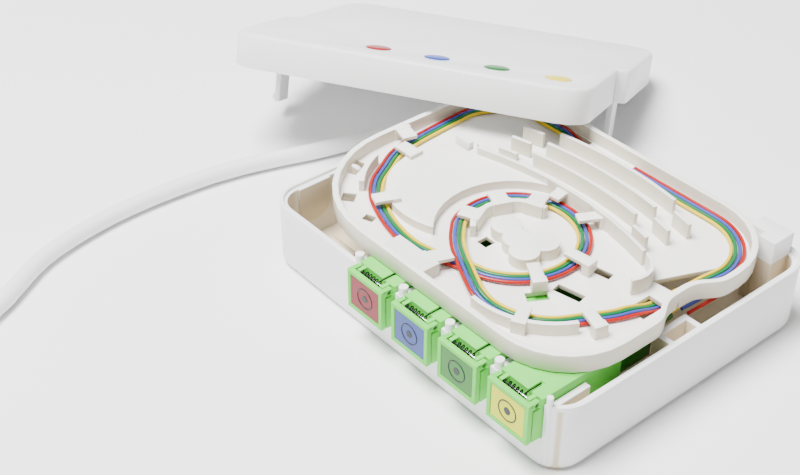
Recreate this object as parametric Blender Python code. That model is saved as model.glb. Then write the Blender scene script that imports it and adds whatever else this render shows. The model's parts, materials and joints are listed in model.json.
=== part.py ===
"""Four-port fibre termination box with its splice tray and its lifted-off cover.

The frame: the origin is the centre of the base's underside, +Z is up, -Y is the
side with the four adapters and +X is to the right of someone facing them.
"""
import math

import bmesh
import bpy
from mathutils import Euler, Matrix, Vector

MM = 0.001
GAP = 0.3 * MM                      # air left between pieces that touch

# ---- base box ---------------------------------------------------------------
BASE_WIDTH = 107.0 * MM
BASE_DEPTH = 87.0 * MM
BASE_HEIGHT = 19.3 * MM
WALL = 2.0 * MM
FLOOR = 2.0 * MM
CORNER_RADIUS = 8.0 * MM
FOOT_RADIUS = 2.2 * MM              # rounding of the bottom edge
RIM_LEDGE_DEPTH = 0.8 * MM
RIM_LEDGE_WIDTH = 1.0 * MM

# ---- adapters ---------------------------------------------------------------
PORT_COLOURS = ("red", "blue", "green", "yellow")
PORT_PITCH = 16.5 * MM
ADAPTER_WIDTH = 12.8 * MM
ADAPTER_HEIGHT = 11.4 * MM
ADAPTER_Z = 9.5 * MM                # underside of the adapters
ADAPTER_LENGTH = 27.4 * MM
BANK_MARGIN = 5.7 * MM              # from the last adapter to the outer right wall
POST_TOP = 21.6 * MM                # round posts between the adapters
ADAPTER_PROUD = 4.0 * MM            # shutter face in front of the base's front wall
SHUTTER_THICK = 1.3 * MM
SHUTTER_CLEAR = 1.2 * MM            # hinge axis behind the shutter's back face
AXIS_DROP = 0.9 * MM                # hinge axis below the adapter's top
PIN_RADIUS = 0.35 * MM
KNUCKLE_WIDTH = 1.3 * MM
LUG_WIDTH = 1.1 * MM
PANEL_INSET = 1.1 * MM              # green frame left round the coloured panel
PANEL_THICK = 0.4 * MM
SPRING_RADIUS = 0.85 * MM
SPRING_WIRE = 0.17 * MM
SPRING_TURNS = 5
SPRING_LEG = 5.0 * MM
PORT_OPENING = (9.6 * MM, 7.6 * MM)
SLEEVE_RADIUS = 1.6 * MM
SLEEVE_BORE = 1.3 * MM
SLEEVE_LENGTH = 10.5 * MM
WEB_THICK = 3.0 * MM                # wall inside the adapter that carries the sleeve
PLUG_SIZE = (8.8 * MM, 7.0 * MM)
PLUG_OUT = 12.5 * MM                # part of the inside plug behind the adapter
BOOT_RADIUS = 2.4 * MM
BOOT_LENGTH = 11.0 * MM
FERRULE_RADIUS = 0.95 * MM
FIBRE_DIAMETER = 0.9 * MM

# ---- splice tray ------------------------------------------------------------
TRAY_SIDE_CLEAR = 1.2 * MM          # to the cover's inner faces
TRAY_FRONT_CLEAR = 1.3 * MM
TRAY_BACK_CLEAR = 4.0 * MM
TRAY_OVER_ADAPTER = 0.4 * MM
TRAY_FLOOR = 1.2 * MM
TRAY_RIM = 4.7 * MM
TRAY_WALL = 1.5 * MM
FIN_HEIGHT = 4.4 * MM               # above the tray's floor
FRONT_LEFT_RADIUS = 31.0 * MM
FRONT_RIGHT_RADIUS = 19.0 * MM
BACK_RADIUS = 20.0 * MM
WAIST = 4.0 * MM                    # how far the right side pulls in
LOBE_RADIUS = 20.0 * MM             # raised platform of the left lobe
RING_OUTER = 20.5 * MM              # well for the ring of fibres
RING_DROP = 0.15 * MM               # well's floor below the tray's floor
TAB_THICK = 1.0 * MM
TAB_LIFT = 2.45 * MM                # underside of the tabs above the floor
HINGE_BEHIND = 1.5 * MM             # tray's hinge axis behind its back wall
HINGE_PIN = 1.0 * MM
HINGE_BORE = 1.35 * MM
HINGE_LIFT = 1.1 * MM               # hinge axis above the tray's underside
LUG_IN = 18.0 * MM                  # middle of a hinge lug inside the base's outer face
LUG_THICK = 5.0 * MM

# ---- cover ------------------------------------------------------------------
COVER_HEIGHT = 9.7 * MM
COVER_TOP = 2.0 * MM
COVER_EDGE = 1.2 * MM               # rounding of the top edge
COVER_JOG = 3.2 * MM                # sideways step of the cover's outline
COVER_JOG_Y = -4.0 * MM
COVER_OVER_TRAY = 3.08 * MM         # rise of the standing cover's front, over the tray's rim
COVER_ROLL = -1.07                  # degrees
COVER_HEADING = 29.05               # degrees, turned to the left about the upright
COVER_CORNER_X = -10.39 * MM        # its front right corner
COVER_CORNER_IN = 10.87 * MM        # the same corner, in front of the base's back face
COVER_LIFT = 0.28 * MM              # its lowest corner above the underside of the base
LEG_IN = 3.7 * MM                   # middle of a leg inside the cover's outer face
LEG_THICK = 1.6 * MM
LEG_WIDTH = 6.4 * MM
LEG_DROP = 15.0 * MM                # below the skirt
LEG_Y = {"left": -12.0 * MM, "right": -1.4 * MM}
DOT_RADIUS = 3.5 * MM
DOT_THICK = 0.5 * MM
DOT_PITCH = 17.4 * MM
DOT_FIRST = -12.6 * MM
DOT_FROM_FRONT = 12.0 * MM

# ---- cable ------------------------------------------------------------------
CABLE_DIAMETER = 4.8 * MM
CABLE_HOLE_IN = 15.5 * MM           # middle of the cable's hole in front of the back face
CABLE_HOLE_Z = 8.0 * MM
CABLE_ROUTE = (                     # the run outside, in mm from the hole's mouth: x, y, height
    (1.5, 0.0, 8.0), (-3.5, 0.0, 8.0), (-8.5, -0.2, 7.6), (-14.5, -2.4, 5.6),
    (-20.5, -7.5, 3.4), (-24.7, -15.0, 2.6), (-26.9, -24.0, 2.6), (-29.9, -35.0, 2.6),
    (-33.5, -45.5, 2.6), (-36.8, -57.0, 2.6), (-39.0, -70.5, 2.6), (-39.8, -90.0, 2.6),
    (-37.9, -107.0, 2.6), (-33.9, -121.0, 2.6), (-27.5, -132.0, 2.6), (-24.1, -137.8, 2.6),
)
COIL_OFFSET = (-46.0 * MM, -168.0 * MM)     # coil's centre from the hole's mouth
COIL_RADIUS = 27.5 * MM             # middle of the coil's turns
COIL_HALF_WIDTH = 7.2 * MM
COIL_HEIGHT = 14.6 * MM
COIL_LIFT = 0.2 * MM
TIE_THICK = 0.8 * MM
TIE_WIDTH = 5.0 * MM

COLOURS = {
    "white": ((0.86, 0.86, 0.85, 1), 0.35, 0.0),
    "green_case": ((0.12, 0.62, 0.07, 1), 0.4, 0.0),
    "red": ((0.62, 0.10, 0.08, 1), 0.4, 0.0),
    "blue": ((0.10, 0.20, 0.55, 1), 0.4, 0.0),
    "green": ((0.04, 0.40, 0.12, 1), 0.4, 0.0),
    "yellow": ((0.85, 0.72, 0.06, 1), 0.4, 0.0),
    "steel": ((0.35, 0.35, 0.36, 1), 0.3, 1.0),
    "ceramic": ((0.92, 0.92, 0.90, 1), 0.2, 0.0),
    "cable": ((0.80, 0.80, 0.80, 1), 0.5, 0.0),
}

# ---- places worked out from the sizes above ---------------------------------
HALF_W = BASE_WIDTH / 2
HALF_D = BASE_DEPTH / 2
FRONT = -HALF_D
LUG_X = HALF_W - LUG_IN
LEG_X = HALF_W - LEG_IN
CABLE_MOUTH = Vector((-HALF_W, HALF_D - CABLE_HOLE_IN, 0.0))
COIL_CENTRE = (CABLE_MOUTH.x + COIL_OFFSET[0], CABLE_MOUTH.y + COIL_OFFSET[1])
ADAPTER_TOP = ADAPTER_Z + ADAPTER_HEIGHT
FACE_Y = FRONT - ADAPTER_PROUD
AXIS_Y = FACE_Y + SHUTTER_THICK + SHUTTER_CLEAR
AXIS_Z = ADAPTER_TOP - AXIS_DROP
BODY_Y = FACE_Y + SHUTTER_THICK + GAP
BODY_BACK = BODY_Y + ADAPTER_LENGTH
PORT_Z = ADAPTER_Z + ADAPTER_HEIGHT / 2
FIRST_PORT = HALF_W - BANK_MARGIN - ADAPTER_WIDTH / 2 - 3 * PORT_PITCH
PORTS = [FIRST_PORT + i * PORT_PITCH for i in range(4)]
PLUG_BACK = BODY_BACK + PLUG_OUT
BOOT_BACK = PLUG_BACK + GAP + BOOT_LENGTH

TRAY_Z = ADAPTER_TOP + TRAY_OVER_ADAPTER
TRAY_TOP = TRAY_Z + TRAY_FLOOR
TRAY_HALF = HALF_W - WALL - TRAY_SIDE_CLEAR
TRAY_FRONT = FRONT + WALL + TRAY_FRONT_CLEAR
TRAY_BACK = HALF_D - WALL - TRAY_BACK_CLEAR
HINGE_Y = TRAY_BACK + HINGE_BEHIND
HINGE_Z = TRAY_Z + HINGE_LIFT
COVER_RISE = TRAY_Z + TRAY_RIM + COVER_OVER_TRAY
STRAND_Z = TRAY_TOP + FIBRE_DIAMETER / 2 + 0.25 * MM
LOBE = Vector((-TRAY_HALF + 31.8 * MM, TRAY_FRONT + 33.7 * MM))
RING = Vector((LOBE.x + 22.0 * MM, TRAY_FRONT + 31.2 * MM))
BEND = Vector((TRAY_HALF - 31.3 * MM, TRAY_FRONT + 26.2 * MM))
BACK_BEND = Vector((TRAY_HALF - BACK_RADIUS, TRAY_BACK - BACK_RADIUS))
FIN_CENTRE = Vector((2.0 * MM, TRAY_BACK - 124.0 * MM))
LATCH = Vector((LOBE.x - 14.5 * MM, LOBE.y + 13.0 * MM))


def clear_scene():
    """Remove whatever the file holds."""
    for item in list(bpy.data.objects):
        bpy.data.objects.remove(item, do_unlink=True)
    for group in list(bpy.data.collections):
        bpy.data.collections.remove(group)


def new_collection(name, parent=None):
    """Make a collection under the scene's own or under another."""
    group = bpy.data.collections.new(name)
    (parent or bpy.context.scene.collection).children.link(group)
    return group


def material(name):
    """The Principled material of one finish, made once."""
    found = bpy.data.materials.get(name)
    if found:
        return found
    colour, roughness, metallic = COLOURS[name]
    made = bpy.data.materials.new(name)
    made.use_nodes = True
    shader = made.node_tree.nodes["Principled BSDF"]
    shader.inputs["Base Color"].default_value = colour
    shader.inputs["Roughness"].default_value = roughness
    shader.inputs["Metallic"].default_value = metallic
    return made


def add_mesh(name, mesh, group, finish=None):
    """Put a mesh in the scene as an object."""
    thing = bpy.data.objects.new(name, mesh)
    group.objects.link(thing)
    if finish:
        mesh.materials.append(material(finish))
    if group in CUTTERS:
        thing.display_type = "WIRE"
        thing.hide_render = True
    return thing


def from_bmesh(name, shape, group, finish=None):
    """Turn a bmesh into an object."""
    mesh = bpy.data.meshes.new(name)
    shape.to_mesh(mesh)
    shape.free()
    return add_mesh(name, mesh, group, finish)


def box(name, low, high, group, finish=None, turn=0.0):
    """A block between two corners, turned about its own upright middle line."""
    low, high = Vector(low), Vector(high)
    shape = bmesh.new()
    place = Matrix.Translation((low + high) / 2) @ Matrix.Rotation(turn, 4, "Z")
    bmesh.ops.create_cube(shape, size=1.0, matrix=place @ Matrix.Diagonal((*(high - low), 1.0)))
    return from_bmesh(name, shape, group, finish)


def rounded_box(name, low, high, radius, group, finish=None, foot=0.0, top=0.0, steps=6):
    """A block with round upright edges and, if asked, a rounded foot or top edge."""
    low, high = Vector(low), Vector(high)
    shape = bmesh.new()
    place = Matrix.Translation((low + high) / 2) @ Matrix.Diagonal((*(high - low), 1.0))
    bmesh.ops.create_cube(shape, size=1.0, matrix=place)
    upright = [e for e in shape.edges if abs(e.verts[0].co.z - e.verts[1].co.z) > 1e-6]
    bmesh.ops.bevel(shape, geom=upright, offset=radius, offset_type="OFFSET", segments=steps,
                    profile=0.5, affect="EDGES", clamp_overlap=True)
    for size, level in ((foot, low.z), (top, high.z)):
        if size:
            ring = [e for e in shape.edges if all(abs(v.co.z - level) < 1e-6 for v in e.verts)]
            bmesh.ops.bevel(shape, geom=ring, offset=size, offset_type="OFFSET", segments=2,
                            profile=0.5, affect="EDGES", clamp_overlap=True)
    return from_bmesh(name, shape, group, finish)


def rod(name, start, end, radius, group, finish=None, sides=12, end_radius=None):
    """A round bar or cone from one point to another."""
    start, end = Vector(start), Vector(end)
    along = end - start
    turn = along.to_track_quat("Z", "Y").to_matrix().to_4x4()
    shape = bmesh.new()
    bmesh.ops.create_cone(shape, cap_ends=True, segments=sides, radius1=radius,
                          radius2=radius if end_radius is None else end_radius,
                          depth=along.length, matrix=Matrix.Translation((start + end) / 2) @ turn)
    return from_bmesh(name, shape, group, finish)


def arc(centre, radius, start, end, steps):
    """Points on an arc, in degrees, both ends included."""
    turn = [math.radians(start + (end - start) * i / steps) for i in range(steps + 1)]
    return [Vector((centre[0] + radius * math.cos(a), centre[1] + radius * math.sin(a))) for a in turn]


def filleted(corners, steps=0):
    """An outline from (x, y, radius) corners, with each corner an arc of its radius."""
    points = []
    count = len(corners)
    for i, (x, y, radius) in enumerate(corners):
        here = Vector((x, y))
        back = (Vector(corners[i - 1][:2]) - here).normalized()
        ahead = (Vector(corners[(i + 1) % count][:2]) - here).normalized()
        half = back.angle(ahead) / 2
        reach = radius / math.tan(half)
        middle = here + (back + ahead).normalized() * (radius / math.sin(half))
        first = here + back * reach - middle
        last = here + ahead * reach - middle
        sweep = first.angle_signed(last)
        bends = steps or max(3, min(9, round(radius / (2.6 * MM))))
        for k in range(bends + 1):
            points.append(middle + Matrix.Rotation(-sweep * k / bends, 2) @ first)
    return points


def prism(name, points, low, high, group, finish=None):
    """A flat outline made into a plate between two heights."""
    curve = bpy.data.curves.new(name + "_outline", "CURVE")
    curve.dimensions = "2D"
    curve.fill_mode = "BOTH"
    curve.extrude = (high - low) / 2
    line = curve.splines.new("POLY")
    line.points.add(len(points) - 1)
    for spot, point in zip(line.points, points):
        spot.co = (point[0], point[1], 0.0, 1.0)
    line.use_cyclic_u = True
    return mesh_of_curve(name, curve, Matrix.Translation((0, 0, (low + high) / 2)), group, finish)


def tube(name, points, radius, group, finish=None, resolution=2):
    """A round tube with closed ends along a list of points."""
    curve = bpy.data.curves.new(name + "_line", "CURVE")
    curve.dimensions = "3D"
    curve.bevel_depth = radius
    curve.bevel_resolution = resolution
    curve.use_fill_caps = True
    line = curve.splines.new("POLY")
    line.points.add(len(points) - 1)
    for spot, point in zip(line.points, points):
        spot.co = (*point, 1.0)
    return mesh_of_curve(name, curve, Matrix.Identity(4), group, finish)


def mesh_of_curve(name, curve, place, group, finish):
    """Turn a curve into a closed mesh object and drop the curve."""
    guide = bpy.data.objects.new(curve.name, curve)
    guide.matrix_world = place
    bpy.context.scene.collection.objects.link(guide)
    graph = bpy.context.evaluated_depsgraph_get()
    mesh = bpy.data.meshes.new_from_object(guide.evaluated_get(graph))
    mesh.name = name
    shape = bmesh.new()
    shape.from_mesh(mesh)
    bmesh.ops.remove_doubles(shape, verts=shape.verts, dist=1e-7)
    bmesh.ops.transform(shape, matrix=place, verts=shape.verts)
    shape.to_mesh(mesh)
    shape.free()
    bpy.data.objects.remove(guide, do_unlink=True)
    bpy.data.curves.remove(curve)
    mesh.materials.clear()
    return add_mesh(name, mesh, group, finish)


def band(name, centre, radius, thick, start, end, low, high, group, steps=8):
    """An upright wall along an arc."""
    outer = arc(centre, radius + thick / 2, start, end, steps)
    inner = arc(centre, radius - thick / 2, end, start, steps)
    return prism(name, outer + inner, low, high, group)


def boolean(target, other, operation):
    """Note that a solid is to be joined to or cut by an object or all of a collection."""
    WORK.append((target, other, operation))


def work_solids():
    """Give every solid its joins and cuts, in the order they were asked for."""
    for target, other, operation in WORK:
        step = target.modifiers.new(operation.lower(), "BOOLEAN")
        step.operation = operation
        step.solver = "EXACT"
        if isinstance(other, bpy.types.Collection):
            step.operand_type = "COLLECTION"
            step.collection = other
        else:
            step.object = other


def smooth_line(points, spacing, closed_ends=True):
    """Points at an even spacing on a smooth curve through the given ones."""
    route = [Vector(p) for p in points]
    if closed_ends:
        route = [route[0] * 2 - route[1]] + route + [route[-1] * 2 - route[-2]]
    fine = []
    for i in range(1, len(route) - 2):
        a, b, c, d = route[i - 1:i + 3]
        for k in range(24):
            t = k / 24
            fine.append(0.5 * (2 * b + (c - a) * t + (2 * a - 5 * b + 4 * c - d) * t * t
                               + (3 * b - a - 3 * c + d) * t ** 3))
    fine.append(route[-2].copy())
    length = sum((q - p).length for p, q in zip(fine, fine[1:]))
    count = max(2, round(length / spacing))
    spots, travelled, wanted = [fine[0]], 0.0, length / count
    for p, q in zip(fine, fine[1:]):
        piece = (q - p).length
        while travelled + piece >= wanted - 1e-9 and len(spots) < count:
            share = (wanted - travelled) / piece
            spots.append(p.lerp(q, share))
            wanted += length / count
        travelled += piece
    spots.append(fine[-1])
    return spots


# ---- base -------------------------------------------------------------------
def port_cut(i):
    """Left and right sides of the opening in the front wall for one adapter."""
    return PORTS[i] - ADAPTER_WIDTH / 2 - GAP, PORTS[i] + ADAPTER_WIDTH / 2 + GAP


def build_base():
    """The open box with its rim, ribs, sockets and hinge brackets."""
    base = rounded_box("base_box", (-HALF_W, FRONT, 0), (HALF_W, HALF_D, BASE_HEIGHT),
                       CORNER_RADIUS, MODEL, "white", foot=FOOT_RADIUS)
    inside = rounded_box("base_inside", (-HALF_W + WALL, FRONT + WALL, FLOOR),
                         (HALF_W - WALL, HALF_D - WALL, BASE_HEIGHT + WALL),
                         CORNER_RADIUS - WALL, TOOLS)
    boolean(base, inside, "DIFFERENCE")
    rim = WALL - RIM_LEDGE_WIDTH
    ledge = rounded_box("rim_ledge", (-HALF_W + rim, FRONT + rim, BASE_HEIGHT - RIM_LEDGE_DEPTH),
                        (HALF_W - rim, HALF_D - rim, BASE_HEIGHT + WALL),
                        CORNER_RADIUS - rim, TOOLS)
    boolean(base, ledge, "DIFFERENCE")

    added = new_collection("base_added", CUTTING)
    CUTTERS.append(added)
    sink = 0.5 * MM                              # how far a rib runs into its wall
    rib_top = BASE_HEIGHT - RIM_LEDGE_DEPTH
    rib_back = FRONT + WALL + 11.0 * MM
    rib_half = (PORT_PITCH - ADAPTER_WIDTH) / 2 - GAP
    for i in range(5):
        x = PORTS[0] + (i - 0.5) * PORT_PITCH
        half = rib_half if i < 4 else rib_half / 2
        x -= rib_half - half
        box(f"rib_{i}", (x - half, FRONT + WALL - sink, FLOOR - sink),
            (x + half, rib_back, rib_top), added)
        post = PORTS[0] + (i - 0.5) * PORT_PITCH - (0 if i < 4 else rib_half - half)
        rod(f"rib_post_{i}", (post, FRONT + 1.3 * MM, FLOOR), (post, FRONT + 1.3 * MM, POST_TOP),
            min(half, 1.15 * MM), added, sides=12)
    shelf = ADAPTER_Z - GAP
    for i, x in enumerate(PORTS):
        box(f"shelf_{i}", (x - 3 * MM, FRONT + WALL + 3 * MM, FLOOR - sink),
            (x + 3 * MM, FRONT + WALL + 5 * MM, shelf), added)
    for side, sign in (("left", -1), ("right", 1)):
        socket_frame(side, sign, added, sink)
        bracket(side, sign, added, sink)
    frame_x = -HALF_W + WALL + 14.5 * MM
    box("front_bracket", (frame_x, FRONT + WALL + 5 * MM, FLOOR - sink),
        (frame_x + 10 * MM, FRONT + WALL + 6.6 * MM, FLOOR + 10 * MM), added)
    box("front_bracket_arm", (frame_x, FRONT + WALL - sink, FLOOR - sink),
        (frame_x + 1.6 * MM, FRONT + WALL + 6.6 * MM, FLOOR + 10 * MM), added)
    knock_y, knock_r = -30.0 * MM, 5.0 * MM
    wall_x = -HALF_W + WALL
    rod("knockout_round", (wall_x - sink, knock_y, 12 * MM), (wall_x + 0.6 * MM, knock_y, 12 * MM),
        knock_r, added, sides=20)
    box("knockout_neck", (wall_x - sink, knock_y - knock_r, 12 * MM),
        (wall_x + 0.6 * MM, knock_y + knock_r, rib_top), added)
    box("latch_tongue", (LATCH.x - 2.7 * MM, LATCH.y - 0.8 * MM, FLOOR - sink),
        (LATCH.x + 2.7 * MM, LATCH.y + 0.8 * MM, TRAY_TOP + 4.0 * MM), added)
    boolean(base, added, "UNION")

    cut = new_collection("base_cut", CUTTING)
    CUTTERS.append(cut)
    for i in range(4):
        left, right = port_cut(i)
        box(f"port_{i}", (left, FRONT - WALL, ADAPTER_Z - GAP),
            (right, FRONT + WALL + 1 * MM, BASE_HEIGHT + WALL), cut)
    y, z = CABLE_MOUTH.y, CABLE_HOLE_Z
    rod("cable_hole", (-HALF_W - WALL, y, z), (-HALF_W + 2 * WALL, y, z),
        CABLE_DIAMETER / 2 + GAP, cut, sides=16)
    for side, sign in (("left", -1), ("right", 1)):
        x = sign * LEG_X
        leg_y = LEG_Y[side]
        box(f"socket_{side}", (min(x - sign * 1.6 * MM, sign * (HALF_W - WALL)), leg_y - 4 * MM, 3.2 * MM),
            (max(x - sign * 1.6 * MM, sign * (HALF_W - WALL)), leg_y + 4 * MM, BASE_HEIGHT), cut)
        rod(f"hinge_bore_{side}", (sign * (LUG_X + LUG_THICK / 2 - 1 * MM), HINGE_Y, HINGE_Z),
            (sign * (LUG_X + LUG_THICK / 2 + 5 * MM), HINGE_Y, HINGE_Z), HINGE_BORE, cut)
        rod(f"wall_screw_{side}", (sign * 24 * MM, 18 * MM, -WALL), (sign * 24 * MM, 18 * MM, FLOOR * 2),
            2.2 * MM, cut)
    boolean(base, cut, "DIFFERENCE")
    return base


def socket_frame(side, sign, added, sink):
    """Walls inside a side of the base that take a leg of the cover."""
    inner = sign * (LEG_X - 1.6 * MM - 1.6 * MM)
    outer = sign * (HALF_W - WALL + sink)
    y = LEG_Y[side]
    box(f"socket_walls_{side}", (min(inner, outer), y - 5.4 * MM, FLOOR - sink),
        (max(inner, outer), y + 5.4 * MM, BASE_HEIGHT - RIM_LEDGE_DEPTH), added)


def bracket(side, sign, added, sink):
    """Block at the back of the base that holds one end of the tray's hinge."""
    near = LUG_X + LUG_THICK / 2 + GAP
    back = HALF_D - WALL + sink
    for part, start, end, front, top in (("ear", near, near + 6.0 * MM, 1.9 * MM, 1.9 * MM),
                                         ("block", near + 4.4 * MM, near + 9.2 * MM, 4.5 * MM, 2.1 * MM)):
        box(f"hinge_{part}_{side}", (min(sign * start, sign * end), HINGE_Y - front, FLOOR - sink),
            (max(sign * start, sign * end), back, HINGE_Z + top), added)


# ---- adapters ---------------------------------------------------------------
def build_adapter(i):
    """One adapter with its shutter, spring, sleeve, inside plug and boot."""
    colour = PORT_COLOURS[i]
    number = i + 1
    x = PORTS[i]
    left, right = x - ADAPTER_WIDTH / 2, x + ADAPTER_WIDTH / 2
    body = box(f"adapter_{number}_body", (left, BODY_Y, ADAPTER_Z), (right, BODY_BACK, ADAPTER_TOP),
               MODEL, "green_case")
    cut = new_collection(f"adapter_{number}_cut", CUTTING)
    CUTTERS.append(cut)
    room = AXIS_Y + SHUTTER_CLEAR + GAP
    slot_z = AXIS_Z - SHUTTER_CLEAR - GAP
    high = ADAPTER_TOP + WALL
    knuckle = KNUCKLE_WIDTH + GAP
    lug_end = knuckle + LUG_WIDTH
    spring_end = ADAPTER_WIDTH - lug_end
    for k, (a, b) in enumerate(((-GAP, knuckle), (lug_end, spring_end),
                                (ADAPTER_WIDTH - knuckle, ADAPTER_WIDTH + GAP))):
        box(f"slot_{number}_{k}", (left + a, BODY_Y - WALL, slot_z), (left + b, room, high), cut)
    lug_y = AXIS_Y - 0.7 * MM
    lug_z = AXIS_Z + 0.75 * MM
    box(f"lug_front_{number}", (left + GAP, BODY_Y - WALL, slot_z), (right - GAP, lug_y, high), cut)
    box(f"lug_top_{number}", (left + GAP, BODY_Y - WALL, lug_z), (right - GAP, room, high), cut)
    leg_x = left + spring_end - 1.1 * MM
    box(f"leg_groove_{number}", (leg_x - 0.5 * MM, room - MM, AXIS_Z + SPRING_RADIUS - 0.5 * MM),
        (leg_x + 0.5 * MM, AXIS_Y + SPRING_LEG + 0.6 * MM, high), cut)
    rod(f"pin_bore_{number}", (left - MM, AXIS_Y, AXIS_Z), (right + MM, AXIS_Y, AXIS_Z),
        PIN_RADIUS + GAP, cut, sides=10)
    wide, tall = PORT_OPENING
    web_front = (BODY_Y + BODY_BACK - WEB_THICK) / 2
    port_z = PORT_Z - 0.7 * MM
    box(f"port_front_{number}", (x - wide / 2, BODY_Y - WALL, port_z - tall / 2),
        (x + wide / 2, web_front, port_z + tall / 2), cut)
    box(f"port_rear_{number}", (x - wide / 2, web_front + WEB_THICK, port_z - tall / 2),
        (x + wide / 2, BODY_BACK + WALL, port_z + tall / 2), cut)
    rod(f"sleeve_bore_{number}", (x, web_front - MM, port_z), (x, web_front + WEB_THICK + MM, port_z),
        SLEEVE_RADIUS + GAP, cut)
    boolean(body, cut, "DIFFERENCE")

    build_shutter(number, colour, left, right)
    rod(f"adapter_{number}_hinge_pin", (left + GAP, AXIS_Y, AXIS_Z), (right - GAP, AXIS_Y, AXIS_Z),
        PIN_RADIUS, MODEL, "steel", sides=8)
    build_spring(number, left + lug_end + 0.5 * MM, leg_x)

    web = web_front + WEB_THICK / 2
    sleeve = rod(f"adapter_{number}_sleeve", (x, web - SLEEVE_LENGTH / 2, port_z),
                 (x, web + SLEEVE_LENGTH / 2, port_z), SLEEVE_RADIUS, MODEL, "ceramic")
    bore = rod(f"sleeve_hole_{number}", (x, web - SLEEVE_LENGTH, port_z), (x, web + SLEEVE_LENGTH, port_z),
               SLEEVE_BORE, TOOLS)
    boolean(sleeve, bore, "DIFFERENCE")
    plug_front = web + SLEEVE_LENGTH / 2 + GAP
    wide, tall = PLUG_SIZE
    plug = box(f"plug_{number}_body", (x - wide / 2, plug_front, port_z - tall / 2),
               (x + wide / 2, PLUG_BACK, port_z + tall / 2), MODEL, "green_case")
    hole = rod(f"plug_hole_{number}", (x, plug_front - MM, port_z), (x, plug_front + 6 * MM, port_z),
               FERRULE_RADIUS + GAP, TOOLS)
    boolean(plug, hole, "DIFFERENCE")
    rod(f"plug_{number}_ferrule", (x, web + GAP, port_z), (x, plug_front + 5 * MM, port_z),
        FERRULE_RADIUS, MODEL, "ceramic")
    rod(f"plug_{number}_boot", (x, PLUG_BACK + GAP, port_z), (x, BOOT_BACK, port_z),
        BOOT_RADIUS, MODEL, "green_case", end_radius=BOOT_RADIUS / 2)
    build_pigtail(i, x, port_z)


def build_shutter(number, colour, left, right):
    """The sprung flap over a port and the coloured panel let into it."""
    flap = box(f"shutter_{number}_flap", (left, FACE_Y, ADAPTER_Z),
               (right, FACE_Y + SHUTTER_THICK, ADAPTER_TOP), MODEL, "green_case")
    added = new_collection(f"shutter_{number}_added", CUTTING)
    CUTTERS.append(added)
    top = AXIS_Z + AXIS_DROP
    for side, a in (("left", left), ("right", right - KNUCKLE_WIDTH)):
        box(f"knuckle_{number}_{side}", (a, FACE_Y + SHUTTER_THICK / 2, AXIS_Z - 0.85 * MM),
            (a + KNUCKLE_WIDTH, AXIS_Y + 0.85 * MM, top - 0.05 * MM), added)
    boolean(flap, added, "UNION")
    recess = PANEL_THICK + 0.1 * MM + GAP
    low = (left + PANEL_INSET, FACE_Y, ADAPTER_Z + PANEL_INSET)
    high = (right - PANEL_INSET, FACE_Y, ADAPTER_TOP - PANEL_INSET)
    cut = box(f"panel_seat_{number}", (low[0], FACE_Y - WALL, low[2]),
              (high[0], FACE_Y + recess, high[2]), TOOLS)
    boolean(flap, cut, "DIFFERENCE")
    bore = rod(f"flap_bore_{number}", (left - MM, AXIS_Y, AXIS_Z), (right + MM, AXIS_Y, AXIS_Z),
               PIN_RADIUS + GAP, TOOLS, sides=10)
    boolean(flap, bore, "DIFFERENCE")
    side_gap = 0.15 * MM
    box(f"shutter_{number}_panel_{colour}", (low[0] + side_gap, FACE_Y + 0.1 * MM, low[2] + side_gap),
        (high[0] - side_gap, FACE_Y + 0.1 * MM + PANEL_THICK, high[2] - side_gap), MODEL, colour)


def build_spring(number, start, leg_x):
    """The torsion spring round a hinge pin, with one leg along the adapter's top."""
    per_turn = 8
    steps = SPRING_TURNS * per_turn
    points = []
    for k in range(steps + 1):
        turn = math.pi / 2 + 2 * math.pi * k / per_turn
        points.append((start + (leg_x - start) * k / steps, AXIS_Y + SPRING_RADIUS * math.cos(turn),
                       AXIS_Z + SPRING_RADIUS * math.sin(turn)))
    x, y, z = points[-1]
    points.append((x, y + SPRING_LEG, z))
    tube(f"adapter_{number}_spring", points, SPRING_WIRE, MODEL, "steel", resolution=0)


def build_pigtail(i, x, z):
    """A fibre from a plug's boot, round the back of the base to the tray's opening."""
    back = HALF_D - WALL - 10.5 * MM - 2.5 * MM * i
    side = HALF_W - WALL - 5.7 * MM - 2.0 * MM * i
    start = BOOT_BACK + GAP
    radius = 5.5 * MM
    rise = 2.4 * MM
    reach = side - radius - (x + radius)
    route = [(x, start), (x, start + 3 * MM)]
    if reach > 0:
        route += [tuple(p) for p in arc((x + radius, back - radius), radius, 180, 90, 4)]
        if reach > 8 * MM:
            route += [(x + radius + reach / 2, back)]
        route += [tuple(p) for p in arc((side - radius, back - radius), radius, 90, 0, 4)]
        route += [(side, back - radius - 4 * MM), (side, start + 0.8 * MM)]
    else:
        route += [(x - 0.8 * MM, start + 6.5 * MM), (x - 2.0 * MM, start + 10.5 * MM),
                  (x - 2.5 * MM, start + 14.5 * MM)]
    flat = smooth_line([Vector((*p, 0.0)) for p in route], 4.0 * MM)
    top = len(flat) - 1
    points = [Vector((p.x, p.y, z + rise * (k / top) ** 2)) for k, p in enumerate(flat)]
    tube(f"pigtail_{i + 1}_{PORT_COLOURS[i]}", points, FIBRE_DIAMETER / 2, MODEL, PORT_COLOURS[i],
         resolution=1)


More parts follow.
